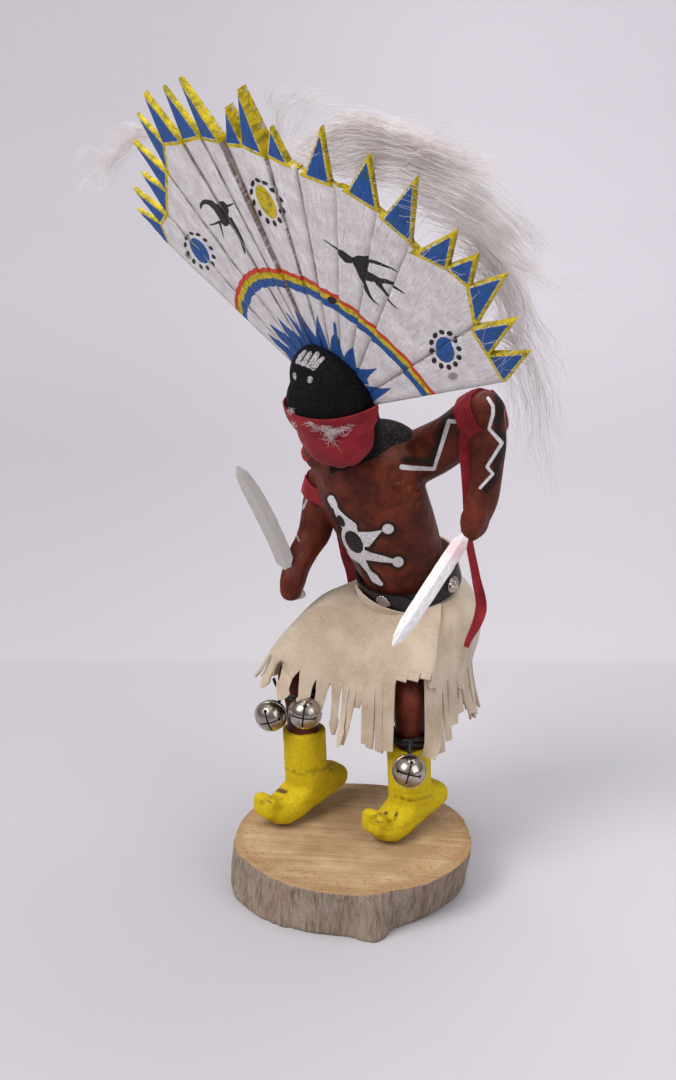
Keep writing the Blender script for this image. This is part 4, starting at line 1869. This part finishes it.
def sword_material():
    p = Paint("sword_paint", roughness=0.5, coat=0.15)
    along = p.place((1, 0.12, 1), "blade_place")
    wide = p.place((1, 1, 1), "blade_place")
    streak = p.noise(along, 1.6, 5, 0.7)
    speck = p.noise(wide, 2.0, 4, 0.7)
    cloud = p.noise(wide, 0.25, 4, 0.6)
    colour = p.mix(p.span(streak, 0.40, 0.62), rgb("#d6d1d3"), rgb("#eeebec"))
    colour = p.mix(p.math("MULTIPLY", p.span(cloud, 0.5, 0.7), 0.35), colour, rgb("#b4aca9"))
    grey = p.math("MULTIPLY", p.value("grey"), 0.72)
    colour = p.mix(grey, colour, rgb("#a8a19c"))
    wood = p.math("MULTIPLY", p.span(p.math("ADD", streak, p.value("worn")), 0.92, 1.05), 0.85)
    colour = p.mix(wood, colour, rgb("#8a6c4c"))
    colour = p.mix(p.math("MULTIPLY", p.value("pink"), 0.6), colour, rgb("#d79aa4"))
    height = p.math("ADD", p.math("MULTIPLY", streak, 0.7), p.math("MULTIPLY", speck, 0.2))
    return p.finish(colour, p.span(speck, 0.3, 0.7, 0.42, 0.6), p.bump(height, 0.22, 0.0003))


def make_sword(name, node, tip, grip, flat, bend, grey, material):
    along = (tip - grip).normalized()
    across = (flat - along * flat.dot(along)).normalized()
    normal = along.cross(across)
    blade = (tip - grip).length
    half = SWORD_WIDTH / 2 * (1.16 if grey else 1.0)
    deep = SWORD_THICK / 2
    grip_half = GRIP_WIDTH / 2
    stations = [(-GRIP_LENGTH / 2 - 0.0004, grip_half * 0.9, deep * 0.8), (-GRIP_LENGTH / 2, grip_half * 1.2, deep),
                (-GRIP_LENGTH / 2 + 0.003, grip_half * 1.18, deep), (-GRIP_LENGTH / 2 + 0.005, grip_half, deep * 0.95),
                (GRIP_LENGTH / 2, grip_half, deep), (GRIP_LENGTH / 2 + 0.003, half, deep),
                (blade * 0.55, half * 1.04, deep), (blade * 0.80, half * 0.98, deep * 0.85),
                (blade * 0.93, half * 0.72, deep * 0.7), (blade, half * 0.10, deep * 0.25)]
    table = np.array(stations)
    reach = np.unique(np.r_[table[:, 0], np.linspace(table[0, 0], blade, 90)])
    rows = []
    lengths = []
    sides = []
    for along_by in reach:
        wide = np.interp(along_by, table[:, 0], table[:, 1])
        thick = np.interp(along_by, table[:, 0], table[:, 2])
        share = max(0.0, along_by / blade)
        centre = grip + along * along_by + across * bend * sin(pi * share)
        sharp = min(1.0, max(0.0, (along_by - GRIP_LENGTH / 2) / 0.003))
        edge = 0.85 - 0.62 * sharp
        ridge = 0.30 - 0.26 * sharp
        full = 0.05 - 0.05 * sharp
        row = []
        for x, z in ((1, edge * 0.55), (0.93, edge), (0.5, (edge + 1) / 2 + full), (ridge, 1), (-ridge, 1),
                     (-0.5, (edge + 1) / 2 + full), (-0.93, edge), (-1, edge * 0.55), (-1, -edge * 0.55), (-0.93,
                                                                                                           -edge),
                     (-0.5, -(edge + 1) / 2 - full), (-ridge, -1), (ridge, -1), (0.5, -(edge + 1) / 2 - full), (0.93,
                                                                                                                -edge),
                     (1, -edge * 0.55)):
            row.append(centre + across * wide * x + normal * thick * z)
            lengths.append(along_by)
            sides.append(x)
        rows.append(row)
    bm = bmesh.new()
    skin(bm, rows)
    mesh = mesh_from(name, bm, 14)
    co = vertices_of(mesh)
    lengths = np.array(lengths)
    sides = np.array(sides)
    away = normals_of(mesh)
    push = noise(co, 0.0035, 6 + grey) * 0.00014 + noise(co, 0.0014, 7) * 0.00007
    put_vertices(mesh, co + away * push[:, None])
    place = np.stack([sides * 3.6, lengths * 1000, np.where(np.abs(sides) > 0.95, 4.0, 0.0)], axis=1)
    add_vector(mesh, "blade_place", place)
    add_value(mesh, "grey", np.full(len(co), float(grey)))
    worn = np.exp(-((lengths - GRIP_LENGTH / 2 - 0.002) / 0.003) ** 2) * 0.3 + (np.abs(sides) > 0.95) * 0.12
    add_value(mesh, "worn", worn * (1.0 if grey else 0.45))
    add_value(mesh, "pink", np.exp(-((lengths - 0.016) / 0.005) ** 2) * (0.0 if grey else 1.0))
    made = new_object(name, mesh, material)
    finished(made, node)


def make_swords():
    material = sword_material()
    make_sword("painted_sword_right", "sword_right", Vector((-0.0585, -0.0205, 0.2040)), Vector(RIGHT_FIST),
               Vector((0.7, 0.7, 0.2)), 0.0016, 1, material)
    make_sword("painted_sword_left", "sword_left", Vector((0.0325, -0.0085, 0.1345)), Vector(LEFT_FIST),
               Vector((0.7, 0.5, -0.5)), 0.0, 0, material)


make_swords()


# Cloth over the face

SCARF_HEART = Vector((-0.0140, 0.0045, 0.2300))
SCARF_UP = Vector((0.0, -0.30, 0.954)).normalized()
SCARF_TOP_TILT = 29.0
SCARF_LOW_TILT = -74.0
SCARF_END_TILT = -16.0
SCARF_RIGHT = -82.0
SCARF_LEFT = 92.0

BODY_TREE = BVHTree.FromPolygons([v.co for v in body.data.vertices], [tuple(f.vertices) for f in body.data.polygons])


def scarf_aim(bearing, tilt):
    turn = radians(bearing)
    front = FAN_SIDE.cross(SCARF_UP).normalized()
    flat = FAN_SIDE * sin(turn) + front * cos(turn)
    return (flat * cos(radians(tilt)) + SCARF_UP * sin(radians(tilt))).normalized()


def scarf_point(bearing, tilt, grow):
    aim = scarf_aim(bearing, tilt)
    hit = BODY_TREE.ray_cast(SCARF_HEART + aim * 0.05, -aim)[0]
    return hit + aim * grow


def cloth_material(name, colour, dark, scale=2600, sheen=0.3):
    p = Paint(name, roughness=0.85, sheen=sheen, specular=0.2)
    place = p.place()
    cloud = p.noise(place, 120, 4, 0.6)
    weave = p.cells(place, scale)
    tint = p.mix(p.span(cloud, 0.35, 0.7), colour, dark)
    tint = p.mix(p.math("MULTIPLY", p.span(weave, 0.45, 0.8), 0.25), tint, dark)
    normal = p.bump(cloud, 0.2, 0.0008)
    normal = p.bump(weave, 0.35, 0.00018, normal)
    return p.finish(tint, None, normal)


RED = cloth_material("red_cloth", rgb("#98252f"), rgb("#771a23"), sheen=0.06)


def make_bandana():
    across = 90
    down = 44
    points = np.zeros((down + 1, across + 1, 3))
    for r in range(down + 1):
        for k in range(across + 1):
            share = k / across
            bearing = SCARF_RIGHT + (SCARF_LEFT - SCARF_RIGHT) * share
            fall = max(0.0, cos(radians(bearing * 0.93))) ** 0.6
            low = SCARF_END_TILT + (SCARF_LOW_TILT - SCARF_END_TILT) * fall
            tilt = SCARF_TOP_TILT + (low - SCARF_TOP_TILT) * r / down
            flare = 0.0035 * max(0.0, share - 0.85) / 0.15 * (1 - r / down)
            points[r, k] = scarf_point(bearing, tilt, 0.0012 + flare)
    for _ in range(6):
        inner = points.copy()
        inner[1:-1, 1:-1] = (points[:-2, 1:-1] + points[2:, 1:-1] + points[1:-1, :-2] + points[1:-1, 2:]) / 4
        points = inner
    bm = bmesh.new()
    laid = []
    for r in range(down + 1):
        row = []
        for k in range(across + 1):
            share = k / across
            ripple = 0.00022 * sin(28 * share + 3.5 * r / down) * (0.4 + r / down)
            aim = (Vector(points[r, k]) - SCARF_HEART).normalized()
            row.append(bm.verts.new(Vector(points[r, k]) + aim * ripple))
        laid.append(row)
    for a, b in zip(laid, laid[1:]):
        for k in range(across):
            bm.faces.new((a[k], a[k + 1], b[k + 1], b[k]))
    mesh = bpy.data.meshes.new("bandana_flat")
    bm.to_mesh(mesh)
    bm.free()
    thick = applied(mesh, "bandana", [("SOLIDIFY", {"thickness": 0.0008, "offset": 0.0})])
    smooth(thick, 50)
    made = new_object("red_bandana", thick, RED)
    finished(made, "bandana")
    # 0.073 m along the upper edge, 0.060 m along the lower, and a drop from 0.047 m down to 0.025 m.
    return made


SCARF = make_bandana()
SCARF_TREE = BVHTree.FromPolygons([v.co for v in SCARF.data.vertices], [tuple(f.vertices) for f in SCARF.data.polygons])


def hit_at(tree, px, py):
    """Where the sight line of a picture point meets a surface, and its normal."""
    aim = sight_line(px, py)
    spot, normal = tree.ray_cast(CAMERA_PLACE, aim.normalized())[:2]
    return spot, normal


def make_down():
    """Wisps of white down stuck to the cloth."""
    draw = np.random.default_rng(33)
    starts = []
    middles = []
    ends = []

    def wisp(px, py, count, spread, reach, lean):
        spot, normal = hit_at(SCARF_TREE, px, py)
        if spot is None:
            spot, normal = hit_at(BODY_TREE, px, py)
        if normal.dot(LOOK) > 0:
            normal = -normal
        for _ in range(count):
            a = draw.random() * 2 * pi
            flat = LOOK_RIGHT * cos(a) + LOOK_UP * sin(a) * lean
            flat = (flat - normal * flat.dot(normal))
            length = reach * (0.35 + 0.75 * draw.random())
            root = spot + LOOK_RIGHT * draw.normal() * spread + LOOK_UP * draw.normal() * spread * 0.6 + normal * 0.0003
            end = root + flat * length + normal * (0.0004 + 0.0020 * draw.random())
            starts.append(list(root))
            ends.append(list(end))
            middles.append(list((root + end) / 2 + normal * (0.0006 + 0.0012 * draw.random())))

    wisp(331, 430, 56, 0.0009, 0.0052, 0.8)
    wisp(324, 427, 34, 0.0016, 0.0060, 0.35)
    wisp(343, 428, 40, 0.0016, 0.0060, 0.35)
    wisp(312, 423, 22, 0.0008, 0.0040, 0.5)
    wisp(331, 438, 26, 0.0008, 0.0070, 1.3)
    wisp(292, 413, 22, 0.0010, 0.0034, 1.0)
    wisp(295, 423, 12, 0.0010, 0.0034, 1.0)
    paths = curled(np.array(starts), np.array(middles), np.array(ends), 7, ((0.0004, 1.2),), draw)
    mesh = strands("down", paths, 0.00007, 0.00003)
    made = new_object("down_wisps", mesh, hair_material("down_white", rgb("#f4f0f2"), rgb("#ddd3d6")))
    finished(made, "down_tuft")


make_down()


# Ribbons

LEFT_TAIL = [(0.0386, 0.0332, 0.2288), (0.0364, 0.0342, 0.2215), (0.0350, 0.038, 0.200), (0.035, 0.039, 0.178),
             (0.0335, 0.047, 0.155), (0.0325, 0.0525, 0.1365), (0.0310, 0.0440, 0.1205)]
RIGHT_TAIL = [(-0.0485, 0.0355, 0.186), (-0.0500, 0.041, 0.165), (-0.0510, 0.048, 0.146), (-0.0590, 0.060, 0.130),
              (-0.0650, 0.066, 0.108), (-0.0650, 0.067, 0.084), (-0.0610, 0.066, 0.060)]
RIBBON_WIDTH = 0.0062
RIBBON_BAND = 0.0085


def make_ribbon(name, node, stations, share, points, across, turns, widths):
    a = Vector(stations[0][0])
    b = Vector(stations[1][0])
    axis = (b - a).normalized()
    middle = a.lerp(b, share)
    wide = stations[0][1] + (stations[1][1] - stations[0][1]) * share
    side = axis.orthogonal().normalized()
    front = axis.cross(side)
    bm = bmesh.new()

    def strip(rows):
        laid = [[bm.verts.new(p) for p in row] for row in rows]
        for low, high in zip(laid, laid[1:]):
            for k in range(len(low) - 1):
                bm.faces.new((low[k], low[k + 1], high[k + 1], high[k]))

    rows = []
    count = 96
    for k in range(count + 1):
        t = k / count
        turn = 2 * pi * t * turns
        shift = axis * (0.0007 * sin(turn * 0.5 + 0.4))
        out = side * cos(turn) + front * sin(turn)
        row = []
        for j in range(9):
            y = j / 8 - 0.5
            hit = BODY_TREE.ray_cast(middle + shift + axis * y * RIBBON_BAND + out * 0.03, -out)[0]
            radius = wide if hit is None else min(wide + 0.0016,
                                                  max(wide - 0.0016,
                                                      (hit - middle - shift - axis * y * RIBBON_BAND).length))
            pucker = 0.00016 * sin(9 * turn + 5 * y)
            row.append(middle + shift + axis * y * RIBBON_BAND + out * (radius + 0.0007 + 0.00045 * t * turns + pucker))
        rows.append(row)
    strip(rows)
    fine = smooth_stations([(p, 1.0, 1.0) for p in points], 8)
    centres = [Vector(s[0]) for s in fine]
    rows = []
    last = len(centres) - 1
    for i, centre in enumerate(centres):
        t = i / last
        down = (centres[min(i + 1, last)] - centres[max(i - 1, 0)]).normalized()
        flat = (across - down * across.dot(down)).normalized()
        normal = down.cross(flat)
        twist = 0.9 * sin(2.2 * pi * t + 0.4) * t
        lay = flat * cos(twist) + normal * sin(twist)
        rise = down.cross(lay)
        half = RIBBON_WIDTH / 2 * float(np.interp(t, np.linspace(0, 1, len(widths)), widths))
        row = []
        for j in range(7):
            x = j / 6 * 2 - 1
            fray = Vector((0, 0, -0.0012 * draw_ribbon.random())) if i == last else Vector((0, 0, 0))
            cup = rise * (0.0006 * (1 - x * x) * sin(5 * t + 1))
            row.append(centre + lay * half * x + cup + fray)
        rows.append(row)
    strip(rows)
    mesh = bpy.data.meshes.new(name)
    bm.to_mesh(mesh)
    bm.free()
    thick = applied(mesh, name, [("SOLIDIFY", {"thickness": 0.0004, "offset": 0.0})])
    smooth(thick, 50)
    made = new_object(name, thick, RED)
    finished(made, node)


# A ribbon's cut length is two turns round the arm and its tail. Its area is 8.5 mm times the turns and the
# tail times its mean width, 5.1 mm on the left and 7.8 mm on the right. The left one's widest place is 8.5 mm,
# and its flat width is the 10 mm that a sheet has at least.
draw_ribbon = np.random.default_rng(4)
make_ribbon("red_ribbon_left", "ribbon_left", LEFT_ARM[3:5], 0.80, LEFT_TAIL, Vector((0.6, 0.6, 0)), 2.0,
            [1, 1.1, 0.9, 0.55, 0.75, 0.9, 0.5])
make_ribbon("red_ribbon_right", "ribbon_right", RIGHT_ARM[1:3], 0.30, RIGHT_TAIL, Vector((0.6, 0.6, 0)), 2.0,
            [1, 1.3, 1.7, 1.6, 1.2, 0.9, 0.7])


# Log base

BASE_TAPER = 0.0060
BASE_SPREAD = 0.0040
BASE_KNOT = 0.0085
BASE_KNOT_ANGLE = -35.0
BASE_KNOT_WIDTH = 8.5


def make_base():
    count = 420
    side_rows = 34
    turn = 2 * pi * np.arange(count) / count
    wave = 0.0007 * np.sin(2 * turn + 0.6) + 0.0004 * np.sin(5 * turn) + 0.0003 * np.cos(9 * turn + 1.0)
    wave = wave + BASE_OFF[0] * np.cos(turn) + BASE_OFF[1] * np.sin(turn)

    def rise(middle, width):
        off = (np.degrees(turn) - middle + 180) % 360 - 180
        return np.exp(-(off / width) ** 2)

    rows = []
    bark = []
    levels = [0.0] + list(np.linspace(0.0004, 0.9655, side_rows)) + [0.985, 1.0]
    for level in levels:
        depth = 1 - level
        radius = (BASE_RADIUS + wave + BASE_KNOT * rise(BASE_KNOT_ANGLE, BASE_KNOT_WIDTH) * depth
                  - BASE_TAPER * rise(8.0, 42.0) * depth + BASE_SPREAD * rise(-105.0, 34.0) * depth)
        spot3 = np.stack([np.cos(turn) * 0.057, np.sin(turn) * 0.057, np.full(count, level * BASE_HEIGHT * 0.22)],
                         axis=1)
        fine = np.stack([spot3[:, 0], spot3[:, 1], np.full(count, level * BASE_HEIGHT * 0.6)], axis=1)
        rough = noise(spot3, 0.0042, 1) * 0.00055 + noise(spot3, 0.0017, 2) * 0.00035 + noise(fine, 0.0008, 3) * 0.00018
        crack = np.maximum(0, noise(spot3, 0.0028, 9) - 0.45) * -0.0022
        edge = -0.0009 * np.exp(-(level / 0.03)) - 0.0007 * np.exp(-((1 - level) / 0.012))
        radius = radius + (rough + crack) * min(1.0, (1 - level) * 25) + edge
        rows.append(np.stack([radius * np.cos(turn), radius * np.sin(turn), np.full(count, level * BASE_HEIGHT)],
                             axis=1))
        bark.append(np.full(count, 1.0 if level < 0.97 else 0.0))
    rim = rows[-1]
    middle = np.array([BASE_OFF[0], BASE_OFF[1], BASE_HEIGHT])
    for share in (0.985, 0.96, 0.92, 0.86, 0.78, 0.68, 0.56, 0.44, 0.32, 0.2, 0.1, 0.03):
        row = middle + (rim - middle) * share
        worn = noise(row, 0.012, 4) * 0.00012
        row[:, 2] = BASE_HEIGHT + worn * (1 - share ** 8) - 0.00005
        rows.append(row)
        bark.append(np.zeros(count))
    table = np.vstack(rows)
    faces = []
    for r in range(len(rows) - 1):
        for k in range(count):
            n = (k + 1) % count
            faces.append((r * count + k, r * count + n, (r + 1) * count + n, (r + 1) * count + k))
    faces.append(tuple(reversed(range(count))))
    faces.append(tuple((len(rows) - 1) * count + k for k in range(count)))
    mesh = bpy.data.meshes.new("base")
    mesh.from_pydata([tuple(v) for v in table], [], faces)
    add_value(mesh, "bark", np.concatenate(bark))
    off = np.hypot(table[:, 0] - BASE_OFF[0] * 2, table[:, 1] - BASE_OFF[1] * 2)
    add_value(mesh, "heart", off * 1000)
    add_vector(mesh, "bark_place", np.stack([np.cos(np.tile(turn, len(rows))) * 57, np.sin(np.tile(turn, len(rows))) * 57,
                                             table[:, 2] * 1000], axis=1))
    smooth(mesh, 50)
    p = Paint("log", roughness=0.85, specular=0.25)
    place = p.place()
    barks = p.place((1, 1, 0.18), "bark_place")
    rough_bark = p.noise(barks, 0.75, 6, 0.7)
    fine_bark = p.noise(barks, 3.0, 4, 0.7)
    cloud = p.noise(p.place((1, 1, 0.5), "bark_place"), 0.09, 5, 0.6)
    colour = p.mix(p.span(rough_bark, 0.3, 0.7), rgb("#6a594c"), rgb("#aa9b8c"))
    colour = p.mix(p.span(cloud, 0.42, 0.64), colour,
                   p.mix(p.span(fine_bark, 0.3, 0.7), rgb("#85715f"), rgb("#bcae9d")))
    colour = p.mix(p.math("MULTIPLY", p.span(fine_bark, 0.56, 0.74), 0.6), colour, rgb("#4a3a30"))
    warm = p.noise(p.place((1, 1, 0.35), "bark_place"), 0.06, 3, 0.6)
    colour = p.mix(p.math("MULTIPLY", p.span(warm, 0.50, 0.64), 0.22), colour, rgb("#8a6450"))
    saw = p.noise(turned_place(p, 0.9, (1, 0.03, 1)), 900, 3, 0.6)
    wide_saw = p.noise(turned_place(p, 0.9, (1, 0.05, 1)), 260, 4, 0.6)
    rings = p.node("ShaderNodeTexNoise")
    rings.noise_dimensions = "1D"
    wobble = p.math("MULTIPLY_ADD", p.noise(place, 40, 3, 0.5), 5.0, p.value("heart"))
    p.link(wobble, rings.inputs["W"])
    rings.inputs["Scale"].default_value = 0.55
    rings.inputs["Detail"].default_value = 2.0
    top = p.mix(p.span(p.noise(place, 45, 4, 0.6), 0.35, 0.68), rgb("#a48563"), rgb("#ba9f7b"))
    top = p.mix(p.math("MULTIPLY", p.span(saw, 0.48, 0.70), 0.42), top, rgb("#8a6c4a"))
    top = p.mix(p.math("MULTIPLY", p.span(wide_saw, 0.48, 0.68), 0.35), top, rgb("#cdb592"))
    top = p.mix(p.math("MULTIPLY", p.span(rings.outputs["Fac"], 0.5, 0.66), 0.09), top, rgb("#94744e"))
    flecks = p.math("MULTIPLY", p.span(p.noise(p.place((1, 1, 1)), 520, 3, 0.7), 0.56, 0.64),
                    p.span(p.value("heart"), 34, 52))
    top = p.mix(p.math("MULTIPLY", flecks, 0.75), top, rgb("#a25a22"))
    rim_dark = p.span(p.value("heart"), 52.0, 57.5)
    top = p.mix(p.math("MULTIPLY", rim_dark, 0.40), top, rgb("#8a683f"))
    colour = p.mix(p.span(p.value("bark"), 0.3, 0.7), top, colour)
    height = p.mix(p.span(p.value("bark"), 0.3, 0.7), p.math("MULTIPLY", saw, 0.35),
                   p.math("ADD", rough_bark, fine_bark))
    normal = p.bump(height, 0.6, 0.0008)
    made = new_object("log_slice", mesh, p.finish(colour, None, normal))
    finished(made, "base")


def turned_place(p, angle, stretch):
    """Object coordinates turned about Z, then stretched."""
    source = p.node("ShaderNodeTexCoord").outputs["Object"]
    turn = p.node("ShaderNodeVectorRotate", rotation_type="Z_AXIS")
    p.link(source, turn.inputs["Vector"])
    turn.inputs["Angle"].default_value = angle
    mapping = p.node("ShaderNodeMapping")
    mapping.inputs["Scale"].default_value = stretch
    p.link(turn.outputs["Vector"], mapping.inputs["Vector"])
    return mapping.outputs["Vector"]


make_base()


# Stage and light

def add_stage():
    bm = bmesh.new()
    rows = []
    profile = [(-1.6, 0.0), (-0.4, 0.0), (0.9, 0.0), (1.1, 0.02), (1.25, 0.07), (1.4, 0.18), (1.5, 0.34), (1.55, 0.55),
               (1.58, 1.0), (1.6, 2.4)]
    away = Vector((-sin(CAMERA_TURN), cos(CAMERA_TURN), 0))
    for side in (-3.0, 3.0):
        rows.append([away * y + LOOK_RIGHT * side + Vector((0, 0, z)) for y, z in profile])
    laid = [[bm.verts.new(p) for p in row] for row in rows]
    for k in range(len(profile) - 1):
        bm.faces.new((laid[0][k], laid[1][k], laid[1][k + 1], laid[0][k + 1]))
    mesh = bpy.data.meshes.new("stage_floor")
    bm.to_mesh(mesh)
    bm.free()
    mesh.shade_smooth()
    p = Paint("stage_paper", roughness=0.9, specular=0.1)
    spot = p.node("ShaderNodeVectorMath", operation="DOT_PRODUCT")
    p.link(p.node("ShaderNodeTexCoord").outputs["Object"], spot.inputs[0])
    spot.inputs[1].default_value = tuple(away)
    seam = p.span(spot.outputs["Value"], 0.284, 0.298)
    wall = p.mix(p.span(spot.outputs["Value"], 0.35, 1.5), rgb("#c3bfc4"), rgb("#dad6dd"))
    side = p.node("ShaderNodeVectorMath", operation="DOT_PRODUCT")
    p.link(p.node("ShaderNodeTexCoord").outputs["Object"], side.inputs[0])
    side.inputs[1].default_value = tuple(LOOK_RIGHT)
    paper = p.mix(seam, rgb("#bdbabf"), wall)
    mesh.materials.append(p.finish(p.mix(p.span(side.outputs["Value"], -0.3, 0.25, 0.17, 0.0), paper, rgb("#5c5a5e"))))
    made = bpy.data.objects.new("stage_floor", mesh)
    scene.collection.objects.link(made)


def add_light(name, place, aim, size, power, colour=(1, 1, 1)):
    lamp = bpy.data.lights.new(name, "AREA")
    lamp.shape = "RECTANGLE"
    lamp.size = size[0]
    lamp.size_y = size[1]
    lamp.energy = power
    lamp.color = colour
    made = bpy.data.objects.new(name, lamp)
    scene.collection.objects.link(made)
    towards = (Vector(aim) - Vector(place)).normalized()
    made.matrix_world = Matrix.Translation(Vector(place)) @ towards.to_track_quat("-Z", "Y").to_matrix().to_4x4()


def add_lights():
    world = bpy.data.worlds.new("studio")
    scene.world = world
    world.use_nodes = True
    tree = world.node_tree
    sky = tree.nodes["Background"]
    sky.inputs["Strength"].default_value = 0.46
    coords = tree.nodes.new("ShaderNodeTexCoord")
    split = tree.nodes.new("ShaderNodeSeparateXYZ")
    ramp = tree.nodes.new("ShaderNodeValToRGB")
    tree.links.new(coords.outputs["Generated"], split.inputs["Vector"])
    tree.links.new(split.outputs["Z"], ramp.inputs["Fac"])
    tree.links.new(ramp.outputs["Color"], sky.inputs["Color"])
    ramp.color_ramp.elements[0].position = 0.0
    ramp.color_ramp.elements[0].color = (0.30, 0.29, 0.31, 1)
    ramp.color_ramp.elements[1].position = 0.75
    ramp.color_ramp.elements[1].color = (1.0, 0.99, 1.02, 1)
    aim = (0, 0, 0.2)
    add_light("key", (-0.2, -1.3, 1.4), aim, (0.9, 0.9), 25, (1.0, 0.98, 0.96))
    add_light("fill", (1.5, 0.1, 0.9), aim, (1.2, 1.2), 9.5, (0.95, 0.97, 1.0))
    add_light("top", (0.0, 0.2, 1.7), aim, (1.2, 1.2), 16.5)


add_stage()
add_lights()
